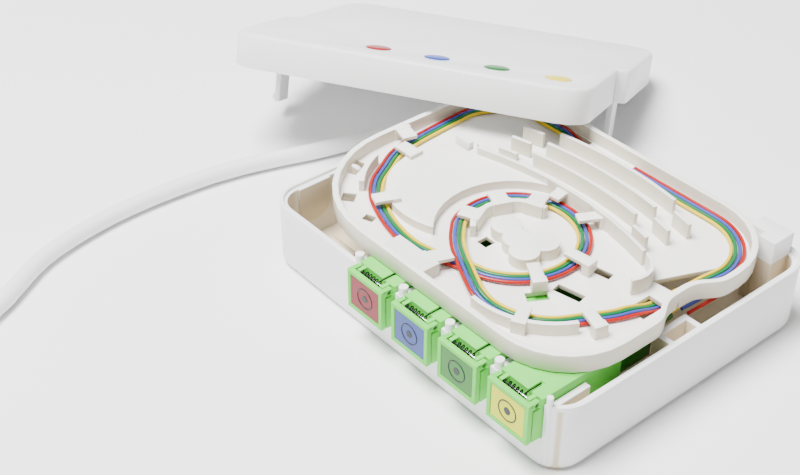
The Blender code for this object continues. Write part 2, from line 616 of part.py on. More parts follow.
# ---- splice tray ------------------------------------------------------------
def tray_outline(inset):
    """The tray's outline, moved in by a distance."""
    right, left = TRAY_HALF - inset, -TRAY_HALF + inset
    front, back = TRAY_FRONT + inset, TRAY_BACK - inset
    waist = TRAY_HALF - WAIST - inset
    middle = BEND.y + 16.5 * MM
    swell = 8.0 * MM
    return filleted([
        (left, front, FRONT_LEFT_RADIUS - inset), (right, front, FRONT_RIGHT_RADIUS - inset),
        (right, middle - 11 * MM, swell - inset), (waist, middle - 5 * MM, swell + inset),
        (waist, middle + 4 * MM, swell + inset), (right, middle + 10 * MM, swell - inset),
        (right, back, BACK_RADIUS - inset), (left, back, BACK_RADIUS - inset)])


def build_tray():
    """The splice tray: rim, platform, ring well, guides, tabs, fins and hinge lugs."""
    tray = prism("splice_tray", tray_outline(0), TRAY_Z, TRAY_Z + TRAY_RIM, MODEL, "white")
    well = prism("tray_well", tray_outline(TRAY_WALL), TRAY_TOP, TRAY_Z + 2 * TRAY_RIM, TOOLS)
    boolean(tray, well, "DIFFERENCE")

    raised = new_collection("tray_platform", CUTTING)
    CUTTERS.append(raised)
    sink = 0.4 * MM
    low = TRAY_TOP - sink
    deck = TRAY_TOP + 2.3 * MM
    prism("platform_disc", arc(LOBE, LOBE_RADIUS, 0, 360 * 35 / 36, 35), low, deck, raised)
    prism("platform_side", [LOBE + Vector(p) * MM for p in ((-10, 8), (22, 8), (30, 19), (-6, 17.6))],
          low, deck, raised)
    boolean(tray, raised, "UNION")
    ring_well = rod("ring_well", (RING.x, RING.y, TRAY_TOP - RING_DROP),
                    (RING.x, RING.y, TRAY_TOP + 8 * MM), RING_OUTER, TOOLS, sides=40)
    boolean(tray, ring_well, "DIFFERENCE")

    added = new_collection("tray_added", CUTTING)
    CUTTERS.append(added)
    tray_walls(added, low)
    tray_tabs(added, low)
    tray_lugs(added)
    boolean(tray, added, "UNION")
    boolean(tray, tray_holes(), "DIFFERENCE")
    return tray


def tray_walls(added, low):
    """Guides, hub walls and the fins that hold splice sleeves."""
    fin_top = TRAY_TOP + FIN_HEIGHT
    guide_top = TRAY_TOP + 3.2 * MM
    band("crescent", LOBE, 26.2 * MM, 1.4 * MM, 200, 229, low, guide_top, added, 6)
    band("hub_wall", RING, 10.8 * MM, 1.5 * MM, 95, 232, low, guide_top, added, 10)
    for k, (x, y, r) in enumerate(((-2.2, -1.4, 3.9), (3.6, -3.0, 4.0), (8.4, 0.8, 4.0), (8.2, -5.4, 3.8))):
        centre = RING + Vector((x, y)) * MM
        crown = TRAY_TOP + 2.9 * MM + k * 1e-5
        rod(f"hub_lobe_{k}", (centre.x, centre.y, low), (centre.x, centre.y, crown), r * MM, added, sides=16)
    band("front_guide", BEND, 21.7 * MM, 1.2 * MM, 264, 334, low, guide_top, added, 10)
    for k, radius in enumerate((97.0, 103.6, 109.6, 115.6)):
        reach = 9.9 if k else 17.5
        start, end = 90 - reach, 90 + reach
        band(f"fin_{k}", FIN_CENTRE, radius * MM, 1.0 * MM, start, end, low, fin_top, added, 8)
    for k, radius in enumerate((100.3, 106.6, 112.6)):
        for side, middle in (("right", 90 - 13.4), ("left", 90 + 13.2)):
            band(f"fin_stop_{side}_{k}", FIN_CENTRE, radius * MM, 1.0 * MM, middle - 1.6, middle + 1.6,
                 low, fin_top, added, 2)
    corner = polar(FIN_CENTRE, 97.0 * MM, 90 - 17.5)
    band("divider_end", corner + Vector((-0.5, -7.0)) * MM, 7.0 * MM, 1.0 * MM, -30, 76, low, fin_top,
         added, 6)


def tab(name, start, end, width, added, low, post=2.0):
    """A retaining tab: a post at its start and a flat finger that reaches to its end."""
    start, end = Vector(start), Vector(end)
    along = (end - start).normalized()
    side = Vector((-along.y, along.x)) * width / 2
    foot = start - along * post * MM
    under = TRAY_TOP + TAB_LIFT
    prism(name + "_post", [foot - side, start - side, start + side, foot + side], low, under + TAB_THICK,
          added)
    root = foot + along * 0.5 * MM
    prism(name + "_finger", [root - side * 0.88, end - side * 0.88, end + side * 0.88, root + side * 0.88],
          under, under + TAB_THICK - 0.1 * MM, added)


def polar(centre, radius, angle):
    """A point at a radius and an angle in degrees from a centre."""
    turn = math.radians(angle)
    return Vector((centre[0] + radius * math.cos(turn), centre[1] + radius * math.sin(turn)))


def tray_tabs(added, low):
    """The fingers that keep the fibres down in their channels."""
    for k, angle in enumerate((183, 248)):
        tab(f"lobe_tab_{k}", polar(LOBE, 19.6 * MM, angle), polar(LOBE, 24.2 * MM, angle), 4.4 * MM,
            added, low)
    outer = Vector((-TRAY_HALF + TRAY_WALL + 1.0 * MM, LOBE.y + 4.2 * MM))
    tab("gate_tab", outer, outer + Vector((4.4, -1.2)) * MM, 4.6 * MM, added, low, post=1.4)
    outside = ((330, 20.7, 2.0), (8, 20.7, 2.0), (62, 20.6, 1.2), (100, 18.7, 1.2))
    for k, (angle, radius, post) in enumerate(outside):
        tab(f"ring_tab_{k}", polar(RING, radius * MM, angle), polar(RING, 15.2 * MM, angle), 3.6 * MM,
            added, low, post=post)
    for k, angle in enumerate((112, 158, 205)):
        tab(f"hub_tab_{k}", polar(RING, 11.3 * MM, angle), polar(RING, 15.0 * MM, angle), 5.0 * MM,
            added, low)
    for k, (angle, radius) in enumerate(((299, 21.3), (344, 23.2))):
        tab(f"guide_tab_{k}", polar(BEND, radius * MM, angle), polar(BEND, (radius - 4.4) * MM, angle),
            3.4 * MM, added, low)
    block = Vector((RING.x - 8.0 * MM, TRAY_FRONT + TRAY_WALL - 0.3 * MM))
    box("front_block", (block.x - 7.0 * MM, block.y, low), (block.x + 7.5 * MM, block.y + 5.4 * MM,
        TRAY_TOP + TAB_LIFT + TAB_THICK), added)
    tab("front_tab", (block.x + 4.0 * MM, block.y + 5.2 * MM), (block.x + 6.0 * MM, block.y + 10.4 * MM),
        5.0 * MM, added, low)


def tray_lugs(added):
    """Lugs and stub pins that hang the tray between the base's brackets."""
    pin = LUG_THICK / 2
    for side, sign in (("left", -1), ("right", 1)):
        x = sign * LUG_X
        inward = TRAY_HALF - BACK_RADIUS - LUG_X
        start = TRAY_BACK - BACK_RADIUS + math.sqrt(BACK_RADIUS ** 2 - inward ** 2)
        box(f"lug_{side}", (x - pin, start - 1.1 * MM, TRAY_Z),
            (x + pin, HINGE_Y + 0.2 * MM, HINGE_Z + 1.5 * MM), added)
        rod(f"lug_round_{side}", (x - pin, HINGE_Y, HINGE_Z), (x + pin, HINGE_Y, HINGE_Z), 1.1 * MM,
            added, sides=16)
        rod(f"stub_{side}", (x + sign * (pin - 1 * MM), HINGE_Y, HINGE_Z),
            (x + sign * (pin + 3 * MM), HINGE_Y, HINGE_Z), HINGE_PIN, added)


def tray_holes():
    """Openings through the tray's floor."""
    cut = new_collection("tray_cut", CUTTING)
    CUTTERS.append(cut)
    low, high = TRAY_Z - MM, TRAY_TOP + 2.4 * MM

    def hole(name, centre, size, turn=0.0, top=TRAY_TOP + 0.6 * MM):
        half = Vector(size) * MM / 2
        box(name, (centre.x - half.x, centre.y - half.y, low), (centre.x + half.x, centre.y + half.y, top),
            cut, turn=math.radians(turn))

    hole("hole_a", LOBE + Vector((-27.0, -14.5)) * MM, (4.0, 6.0), 25)
    hole("hole_b", LOBE + Vector((-17.2, -24.0)) * MM, (3.6, 3.6), 40)
    hole("hole_c", LOBE + Vector((-6.8, -25.6)) * MM, (3.0, 2.4), 20)
    hole("hub_hole", RING + Vector((-3.0, -7.3)) * MM, (3.2, 3.2))
    hole("tab_hole_a", polar(RING, 23.6 * MM, 328), (5.4, 3.2), 60)
    hole("tab_hole_b", polar(RING, 24.6 * MM, 346), (7.4, 2.8), 12)
    hole("tab_hole_c", polar(RING, 23.2 * MM, 13), (7.0, 2.4), 12)
    hole("latch_slot", LATCH + Vector((0, 0.4 * MM)), (6.8, 4.4), 0, top=high)
    dive = Vector((BEND.x + 23.3 * MM, BEND.y + 9.0 * MM))
    hole("dive_hole", dive, (5.0, 7.6))
    entry = Vector((-TRAY_HALF + BACK_RADIUS + 12.5 * MM, TRAY_BACK - TRAY_WALL - 2.7 * MM))
    hole("entry_hole", entry, (8.0, 5.0))
    side = TRAY_HALF - TRAY_WALL
    middle = BEND.y + 16.5 * MM
    rear = BACK_BEND.y
    prism("rise_hole", [(side - 12.2 * MM, middle + 0.8 * MM), (side - WAIST - 0.3 * MM, middle + 1.6 * MM),
                        (side - WAIST - 0.3 * MM, middle + 4.6 * MM), (side - 0.7 * MM, rear - 4.5 * MM),
                        (side - 0.3 * MM, rear + 1.5 * MM), (side - 5.4 * MM, rear + 1.5 * MM),
                        (side - 8.1 * MM, rear - 4.5 * MM)],
          low, TRAY_TOP + 0.6 * MM, cut)
    prism("slit", [Vector((side - 4.6 * MM, middle - 1.9 * MM)) + Vector(p) * MM
                   for p in ((0, 0), (2.6, 0.3), (2.6, 1.1), (0, 0.8))], low, TRAY_TOP + 0.6 * MM, cut)
    return cut


def strand_route():
    """Middle line of the four fibres, as (x, y, z), from the tray's entry to the splice holder."""
    under = TRAY_Z - FIBRE_DIAMETER / 2 - 0.35 * MM
    over = STRAND_Z + 1.25 * MM
    route = []

    def run(points, height):
        route.extend((p[0], p[1], height) for p in points)

    corner = Vector((-TRAY_HALF + BACK_RADIUS, TRAY_BACK - BACK_RADIUS))
    ride = BACK_RADIUS - TRAY_WALL - 3.0 * MM
    run([(corner.x + 17.0 * MM, corner.y + ride)], under - 0.2 * MM)
    run([(corner.x + 13.0 * MM, corner.y + ride)], (under + STRAND_Z) / 2)
    run([(corner.x + 8.5 * MM, corner.y + ride), (corner.x + 4.0 * MM, corner.y + ride)], STRAND_Z)
    run(arc(corner, ride, 92, 178, 6), STRAND_Z)
    run([(corner.x - ride + 0.6 * MM, corner.y - 10 * MM), LOBE + Vector((-25.7, 4.0)) * MM,
         polar(LOBE, 24.3 * MM, 186)], STRAND_Z)
    run(arc(LOBE, 22.5 * MM, 203, 250, 3), STRAND_Z)
    run([LOBE + Vector((2.0, -24.2)) * MM, LOBE + Vector((11.5, -24.6)) * MM], STRAND_Z)
    join, leave, turns = 276, 226, 20
    span = 360 + leave - join
    for k in range(turns + 1):
        angle = join + span * k / turns
        radius = (18.1 - 3.7 * k / turns) * MM
        height = STRAND_Z + (over - STRAND_Z) * max(0.0, (k - turns + 2) / 2)
        run([polar(RING, radius, angle)], height)
    way = polar(RING, 14.4 * MM, leave)
    heading = Vector((-math.sin(math.radians(leave)), math.cos(math.radians(leave))))
    run([way + heading * 5.5 * MM + Vector((0.3, -0.2)) * MM,
         way + heading * 11.5 * MM + Vector((1.6, 0.5)) * MM], over)
    run([polar(BEND, 18.5 * MM, 252)], (over + STRAND_Z) / 2 + 0.3 * MM)
    run(arc(BEND, 18.3 * MM, 266, 338, 6), STRAND_Z)
    dive_x = BEND.x + 23.2 * MM
    run([(dive_x - 2.3 * MM, BEND.y + 0.2 * MM), (dive_x - 0.4 * MM, BEND.y + 5.4 * MM)], STRAND_Z)
    run([(dive_x - 0.1 * MM, BEND.y + 9.0 * MM)], (under + STRAND_Z) / 2)
    rise_y = BACK_BEND.y - 4.5 * MM
    run([(dive_x - 0.2 * MM, BEND.y + 13.0 * MM), (dive_x, (BEND.y + rise_y) / 2 + 4.0 * MM),
         (dive_x + 0.6 * MM, rise_y - 5.0 * MM)], under)
    run([(dive_x + 1.9 * MM, rise_y)], (under + STRAND_Z) / 2)
    run(arc(BACK_BEND, ride, 2, 90, 6), STRAND_Z)
    run([(BACK_BEND.x - 6 * MM, BACK_BEND.y + ride), (BACK_BEND.x - 18 * MM, BACK_BEND.y + ride),
         (BACK_BEND.x - 30 * MM, BACK_BEND.y + ride)], STRAND_Z)
    return smooth_line(route, 1.0 * MM)


def build_strands():
    """The four coloured fibres that the tray holds."""
    middle = strand_route()
    spacing = 1.06 * MM
    keep = 3
    for i, colour in enumerate(PORT_COLOURS):
        offset = (1.5 - i) * spacing
        points = []
        last = len(middle) - 1
        for k in range(0, last + 1, keep):
            ahead = middle[min(k + 1, last)] - middle[max(k - 1, 0)]
            side = Vector((ahead.y, -ahead.x, 0.0)).normalized()
            points.append(middle[k] + side * offset)
        tube(f"tray_fibre_{i + 1}_{colour}", points, FIBRE_DIAMETER / 2, MODEL, colour, resolution=1)


# ---- cover ------------------------------------------------------------------
def cover_outline(inset):
    """The cover's outline with its sideways step, moved in by a distance."""
    left, right = -HALF_W + inset, HALF_W - inset
    front, back = FRONT + inset, HALF_D - inset
    step = COVER_JOG_Y
    round_corner, soft = CORNER_RADIUS - inset, 1.4 * MM
    return filleted([
        (left, front, round_corner), (right - COVER_JOG, front, round_corner),
        (right - COVER_JOG, step + inset, soft), (right, step + inset + 2.2 * MM, soft),
        (right, back, round_corner), (left + COVER_JOG, back, round_corner),
        (left + COVER_JOG, step - inset, soft), (left, step - inset - 2.2 * MM, soft)])


def cover_place():
    """Where the loose cover stands: back edge low, front right corner over the tray."""
    tilt = -math.asin(COVER_RISE / BASE_DEPTH)
    turn = Euler((tilt, math.radians(COVER_ROLL), math.radians(COVER_HEADING)), "YXZ").to_matrix()
    corner = turn @ Vector((HALF_W, FRONT, 0))
    low = min((turn @ Vector((x, y, -COVER_HEIGHT))).z for x in (-HALF_W, HALF_W) for y in (FRONT, HALF_D))
    spot = Vector((COVER_CORNER_X - corner.x, HALF_D - COVER_CORNER_IN - corner.y, COVER_LIFT - low))
    return Matrix.Translation(spot) @ turn.to_4x4()


def build_cover():
    """The cover, lifted off, with its legs, its dots and the pockets that take them."""
    place = cover_place()
    cover = prism("cover", cover_outline(0), -COVER_HEIGHT, 0, MODEL, "white")
    shape = bmesh.new()
    shape.from_mesh(cover.data)
    top = [e for e in shape.edges if all(abs(v.co.z) < 1e-6 for v in e.verts) and len(e.link_faces) == 2
           and abs(sum(f.normal.z for f in e.link_faces)) < 1.5]
    bmesh.ops.bevel(shape, geom=top, offset=COVER_EDGE, offset_type="OFFSET", segments=2, profile=0.5,
                    affect="EDGES", clamp_overlap=True)
    shape.to_mesh(cover.data)
    shape.free()
    inside = prism("cover_inside", cover_outline(WALL), -COVER_HEIGHT - WALL, -COVER_TOP, TOOLS)
    boolean(cover, inside, "DIFFERENCE")
    added = new_collection("cover_legs", CUTTING)
    CUTTERS.append(added)
    seats = []
    for side, sign in (("left", -1), ("right", 1)):
        x, y = sign * LEG_X, LEG_Y[side]
        half = Vector((LEG_THICK, LEG_WIDTH)) / 2
        foot = -COVER_HEIGHT - LEG_DROP
        seats.append(box(f"leg_{side}", (x - half.x, y - half.y, foot),
                         (x + half.x, y + half.y, -COVER_TOP / 2), added))
        barb = sorted((x + sign * (half.x - 0.1 * MM), x + sign * (half.x + 0.6 * MM)))
        seats.append(box(f"barb_{side}", (barb[0], y - half.y, foot + 0.6 * MM),
                         (barb[1], y + half.y, foot + 2.4 * MM), added))
    boolean(cover, added, "UNION")
    pockets = new_collection("dot_pockets", CUTTING)
    CUTTERS.append(pockets)
    dots = []
    y = FRONT + DOT_FROM_FRONT
    for i, colour in enumerate(PORT_COLOURS):
        x = DOT_FIRST + i * DOT_PITCH
        seats.append(rod(f"dot_pocket_{i}", (x, y, -DOT_THICK - GAP), (x, y, MM), DOT_RADIUS + 0.25 * MM,
                         pockets, sides=24))
        dots.append(rod(f"cover_dot_{i + 1}_{colour}", (x, y, -DOT_THICK), (x, y, 0.1 * MM), DOT_RADIUS,
                        MODEL, colour, sides=24))
    boolean(cover, pockets, "DIFFERENCE")
    for thing in [cover, inside] + seats + dots:
        thing.matrix_world = place
    return cover


# ---- cable ------------------------------------------------------------------
def build_cable():
    """The incoming cable: clamp, run, coil and tie."""
    y, z = CABLE_MOUTH.y, CABLE_HOLE_Z
    points = smooth_line([CABLE_MOUTH + Vector(p) * MM for p in CABLE_ROUTE], 4.2 * MM)
    tube("cable_run", points, CABLE_DIAMETER / 2, MODEL, "cable")
    inner = -HALF_W + WALL
    rod("cable_end_inside", (points[0].x + GAP, y, z), (inner + 14 * MM, y, z), CABLE_DIAMETER / 2,
        MODEL, "cable")
    saddle = box("cable_clamp", (inner + 4.5 * MM, y - 5.7 * MM, z + 0.6 * MM),
                 (inner + 9.5 * MM, y + 5.7 * MM, z + CABLE_DIAMETER / 2 + 1.6 * MM), MODEL, "white")
    groove = rod("clamp_groove", (inner, y, z), (inner + 14 * MM, y, z), CABLE_DIAMETER / 2 + GAP, TOOLS)
    boolean(saddle, groove, "DIFFERENCE")
    for side, sign in (("front", -1), ("back", 1)):
        spot = (inner + 7.0 * MM, y + sign * 4.1 * MM)
        hole = rod(f"clamp_hole_{side}", (*spot, z), (*spot, z + 6 * MM), 1.0 * MM, TOOLS, sides=10)
        boolean(saddle, hole, "DIFFERENCE")
        screw = rod(f"clamp_screw_{side}", (*spot, z - 2.5 * MM), (*spot, z + CABLE_DIAMETER / 2 + 2.3 * MM),
                    0.7 * MM, MODEL, "steel", sides=8)
        head = rod(f"screw_head_{side}", (*spot, z + CABLE_DIAMETER / 2 + 1.9 * MM),
                   (*spot, z + CABLE_DIAMETER / 2 + 3.1 * MM), 1.6 * MM, TOOLS, sides=12)
        boolean(screw, head, "UNION")
    rise = [(inner + 14.4 * MM, y, z), (inner + 17 * MM, y + 0.3 * MM, z + 0.2 * MM),
            (inner + 20.5 * MM, y + 2.0 * MM, z + 1.6 * MM),
            (inner + 24.5 * MM, y + 4.0 * MM, z + 4.6 * MM),
            (inner + 28.5 * MM, y + 5.0 * MM, z + 8.4 * MM)]
    tube("fibre_sleeve", smooth_line([Vector(p) for p in rise], 3 * MM), 1.3 * MM, MODEL, "cable",
         resolution=1)
    build_coil()


def build_coil():
    """The neat coil of the cable's spare length, with its tie."""
    near, far = COIL_RADIUS - COIL_HALF_WIDTH, COIL_RADIUS + COIL_HALF_WIDTH
    profile = filleted([(near, COIL_LIFT, 4 * MM), (far, COIL_LIFT, 4 * MM),
                        (far, COIL_HEIGHT, 4 * MM), (near, COIL_HEIGHT, 4 * MM)], steps=2)
    shape = bmesh.new()
    spots = [shape.verts.new((p.x, 0.0, p.y)) for p in profile]
    edges = [shape.edges.new((a, b)) for a, b in zip(spots, spots[1:] + spots[:1])]
    bmesh.ops.spin(shape, geom=spots + edges, cent=(0, 0, 0), axis=(0, 0, 1), angle=2 * math.pi, steps=28,
                   use_merge=True)
    bmesh.ops.remove_doubles(shape, verts=shape.verts, dist=1e-6)
    bmesh.ops.recalc_face_normals(shape, faces=shape.faces)
    bmesh.ops.translate(shape, vec=(*COIL_CENTRE, 0), verts=shape.verts)
    from_bmesh("cable_coil", shape, MODEL, "cable")
    x, y = COIL_CENTRE[0] - COIL_RADIUS, COIL_CENTRE[1]
    half = COIL_HALF_WIDTH + GAP + TIE_THICK
    tie = rounded_box("coil_tie", (x - half, y - TIE_WIDTH / 2, COIL_LIFT - GAP - TIE_THICK + 1.3 * MM),
                      (x + half, y + TIE_WIDTH / 2, COIL_HEIGHT + GAP + TIE_THICK), 0.5 * MM, MODEL,
                      "cable", steps=1)
    inner = box("tie_inside", (x - half + TIE_THICK, y - TIE_WIDTH, -5 * MM),
                (x + half - TIE_THICK, y + TIE_WIDTH, COIL_HEIGHT + GAP), TOOLS)
    boolean(tie, inner, "DIFFERENCE")


clear_scene()
MODEL = new_collection("fiber_termination_box")
CUTTING = new_collection("cutters")
TOOLS = new_collection("cutting_shapes", CUTTING)
CUTTERS = [CUTTING, TOOLS]
WORK = []
build_base()
for port in range(4):
    build_adapter(port)
build_tray()
build_strands()
build_cover()
build_cable()
work_solids()
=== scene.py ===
"""Looks of an open fibre termination box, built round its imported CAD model."""
from __future__ import annotations

import json
import logging
import math
from dataclasses import dataclass
from enum import Enum
from typing import Iterable, Sequence

import bmesh
import bpy
from mathutils import Matrix, Vector


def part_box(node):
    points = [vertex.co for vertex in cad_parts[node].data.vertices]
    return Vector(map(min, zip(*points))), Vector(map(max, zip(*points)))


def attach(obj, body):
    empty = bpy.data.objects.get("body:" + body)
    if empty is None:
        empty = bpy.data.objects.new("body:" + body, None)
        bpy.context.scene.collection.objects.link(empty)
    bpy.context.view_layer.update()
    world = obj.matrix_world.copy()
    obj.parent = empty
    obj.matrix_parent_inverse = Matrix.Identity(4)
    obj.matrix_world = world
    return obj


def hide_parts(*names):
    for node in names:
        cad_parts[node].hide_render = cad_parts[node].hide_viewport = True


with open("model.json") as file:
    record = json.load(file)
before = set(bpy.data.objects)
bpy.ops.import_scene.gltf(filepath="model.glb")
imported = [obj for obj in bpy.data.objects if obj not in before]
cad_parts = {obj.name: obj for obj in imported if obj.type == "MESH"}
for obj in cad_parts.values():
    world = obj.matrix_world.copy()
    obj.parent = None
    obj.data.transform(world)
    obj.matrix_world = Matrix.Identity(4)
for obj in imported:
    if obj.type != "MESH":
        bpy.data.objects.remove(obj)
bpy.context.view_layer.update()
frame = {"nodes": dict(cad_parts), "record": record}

LOG = logging.getLogger("termination_box")
MM = 0.001

Triple = tuple[float, float, float]

SAME_POINT = 0.5e-6  # CAD corners nearer than this are one corner
SAME_SEAM = 1e-8  # the same for the seam of a round line
SAME_PLANE = 4e-6  # a corner nearer than this to a face lies in its plane
ROUND_SMOOTH = 50.0  # degrees; a round line is shaded smooth up to this angle

FINE_DETAIL = 3.0
BROAD_SCALE = 55.0
BROAD_DETAIL = 2.0
GRAIN_HEIGHT = 0.12 * MM
MIDDLE_TONE = 0.5
UPRIGHT_FADE = (0.15, 0.75)  # upright part of a normal: full painted shade below, none above
SEE_IN_TINT = (1.0, 0.9, 0.8)


class Tint(Enum):
    """The four line colours, in the order of the ports."""

    RED = "red"
    BLUE = "blue"
    GREEN = "green"
    YELLOW = "yellow"


def linear(red: float, green: float, blue: float) -> tuple[float, float, float, float]:
    """Turn a display colour into a scene-linear one, by the sRGB rule.

    Args:
        red: Red from 0 to 1.
        green: Green from 0 to 1.
        blue: Blue from 0 to 1.

    Returns:
        The colour as four scene-linear numbers.
    """
    parts = [c / 12.92 if c <= 0.04045 else ((c + 0.055) / 1.055) ** 2.4
             for c in (red, green, blue)]
    return (parts[0], parts[1], parts[2], 1.0)


PANEL_SHADES: dict[Tint, Triple] = {
    Tint.RED: (0.52, 0.13, 0.17),
    Tint.BLUE: (0.24, 0.32, 0.58),
    Tint.GREEN: (0.22, 0.50, 0.20),
    Tint.YELLOW: (0.84, 0.86, 0.04),
}
FIBRE_SHADES: dict[Tint, Triple] = {
    Tint.RED: (0.66, 0.10, 0.06),
    Tint.BLUE: (0.25, 0.31, 0.64),
    Tint.GREEN: (0.02, 0.45, 0.23),
    Tint.YELLOW: (0.88, 0.76, 0.10),
}
DOT_SHADES: dict[Tint, Triple] = {
    Tint.RED: (0.62, 0.04, 0.09),
    Tint.BLUE: (0.16, 0.28, 0.66),
    Tint.GREEN: (0.02, 0.42, 0.13),
    Tint.YELLOW: (0.92, 0.84, 0.04),
}


# ---- finishes ---------------------------------------------------------------
def grain_group() -> bpy.types.NodeTree:
    """The fine grain that every moulded or drawn surface has, built once.

    Returns:
        A shader group with a tone from 0 to 1, a roughness and a normal.
    """
    found = bpy.data.node_groups.get("surface_grain")
    if found:
        return found
    tree = bpy.data.node_groups.new("surface_grain", "ShaderNodeTree")
    sockets = tree.interface
    sockets.new_socket("Grain Scale", in_out="INPUT", socket_type="NodeSocketFloat")
    sockets.new_socket("Grain Depth", in_out="INPUT", socket_type="NodeSocketFloat")
    sockets.new_socket("Roughness", in_out="INPUT", socket_type="NodeSocketFloat")
    sockets.new_socket("Roughness Spread", in_out="INPUT", socket_type="NodeSocketFloat")
    sockets.new_socket("Tone", in_out="OUTPUT", socket_type="NodeSocketFloat")
    sockets.new_socket("Roughness", in_out="OUTPUT", socket_type="NodeSocketFloat")
    sockets.new_socket("Normal", in_out="OUTPUT", socket_type="NodeSocketVector")
    nodes, links = tree.nodes, tree.links
    entry = nodes.new("NodeGroupInput")
    exit_ = nodes.new("NodeGroupOutput")
    place = nodes.new("ShaderNodeTexCoord")
    fine = nodes.new("ShaderNodeTexNoise")
    fine.inputs["Detail"].default_value = FINE_DETAIL
    broad = nodes.new("ShaderNodeTexNoise")
    broad.inputs["Scale"].default_value = BROAD_SCALE
    broad.inputs["Detail"].default_value = BROAD_DETAIL
    bump = nodes.new("ShaderNodeBump")
    bump.inputs["Distance"].default_value = GRAIN_HEIGHT
    spread = nodes.new("ShaderNodeMath")
    spread.operation = "MULTIPLY_ADD"
    centre = nodes.new("ShaderNodeMath")
    centre.operation = "SUBTRACT"
    centre.inputs[1].default_value = MIDDLE_TONE
    links.new(place.outputs["Object"], fine.inputs["Vector"])
    links.new(place.outputs["Object"], broad.inputs["Vector"])
    links.new(entry.outputs["Grain Scale"], fine.inputs["Scale"])
    links.new(entry.outputs["Grain Depth"], bump.inputs["Strength"])
    links.new(fine.outputs["Fac"], bump.inputs["Height"])
    links.new(broad.outputs["Fac"], centre.inputs[0])
    links.new(centre.outputs[0], spread.inputs[0])
    links.new(entry.outputs["Roughness Spread"], spread.inputs[1])
    links.new(entry.outputs["Roughness"], spread.inputs[2])
    links.new(broad.outputs["Fac"], exit_.inputs["Tone"])
    links.new(spread.outputs[0], exit_.inputs["Roughness"])
    links.new(bump.outputs["Normal"], exit_.inputs["Normal"])
    return tree


def inner_painted_shade_group(half: Triple, soft: float = 0.35 * MM) -> bpy.types.NodeTree:
    """A mask that is 1 within a block about the frame's upright axis and 0 outside it: where the
    base's inside gets painted shade.

    Args:
        half: Half-width, half-depth and top of the block, in metres.
        soft: How far the mask takes to fade.

    Returns:
        A shader group with the output Mask.
    """
    found = bpy.data.node_groups.get("inner_painted_shade_mask")
    if found:
        return found
    tree = bpy.data.node_groups.new("inner_painted_shade_mask", "ShaderNodeTree")
    tree.interface.new_socket("Mask", in_out="OUTPUT", socket_type="NodeSocketFloat")
    nodes, links = tree.nodes, tree.links
    exit_ = nodes.new("NodeGroupOutput")
    place = nodes.new("ShaderNodeTexCoord")
    parts = nodes.new("ShaderNodeSeparateXYZ")
    links.new(place.outputs["Object"], parts.inputs["Vector"])
    masks = []
    for axis, edge in zip("XYZ", half):
        size = nodes.new("ShaderNodeMath")
        size.operation = "ABSOLUTE"
        fade = nodes.new("ShaderNodeMapRange")
        fade.inputs["From Min"].default_value = edge - soft
        fade.inputs["From Max"].default_value = edge
        fade.inputs["To Min"].default_value = 1.0
        fade.inputs["To Max"].default_value = 0.0
        links.new(parts.outputs[axis], size.inputs[0])
        links.new(size.outputs[0], fade.inputs["Value"])
        masks.append(fade.outputs["Result"])
    first = nodes.new("ShaderNodeMath")
    first.operation = "MULTIPLY"
    both = nodes.new("ShaderNodeMath")
    both.operation = "MULTIPLY"
    links.new(masks[0], first.inputs[0])
    links.new(masks[1], first.inputs[1])
    links.new(first.outputs[0], both.inputs[0])
    links.new(masks[2], both.inputs[1])
    links.new(both.outputs[0], exit_.inputs["Mask"])
    return tree


def upright_painted_shade_group() -> bpy.types.NodeTree:
    """A mask that is 1 on upright faces and 0 on level ones: where upright faces get painted
    shade.

    Returns:
        A shader group with the output Mask.
    """
    found = bpy.data.node_groups.get("upright_painted_shade_mask")
    if found:
        return found
    tree = bpy.data.node_groups.new("upright_painted_shade_mask", "ShaderNodeTree")
    tree.interface.new_socket("Mask", in_out="OUTPUT", socket_type="NodeSocketFloat")
    nodes, links = tree.nodes, tree.links
    exit_ = nodes.new("NodeGroupOutput")
    place = nodes.new("ShaderNodeTexCoord")
    parts = nodes.new("ShaderNodeSeparateXYZ")
    size = nodes.new("ShaderNodeMath")
    size.operation = "ABSOLUTE"
    fade = nodes.new("ShaderNodeMapRange")
    fade.inputs["From Min"].default_value = UPRIGHT_FADE[0]
    fade.inputs["From Max"].default_value = UPRIGHT_FADE[1]
    fade.inputs["To Min"].default_value = 1.0
    fade.inputs["To Max"].default_value = 0.0
    links.new(place.outputs["Normal"], parts.inputs["Vector"])
    links.new(parts.outputs["Z"], size.inputs[0])
    links.new(size.outputs[0], fade.inputs["Value"])
    links.new(fade.outputs["Result"], exit_.inputs["Mask"])
    return tree


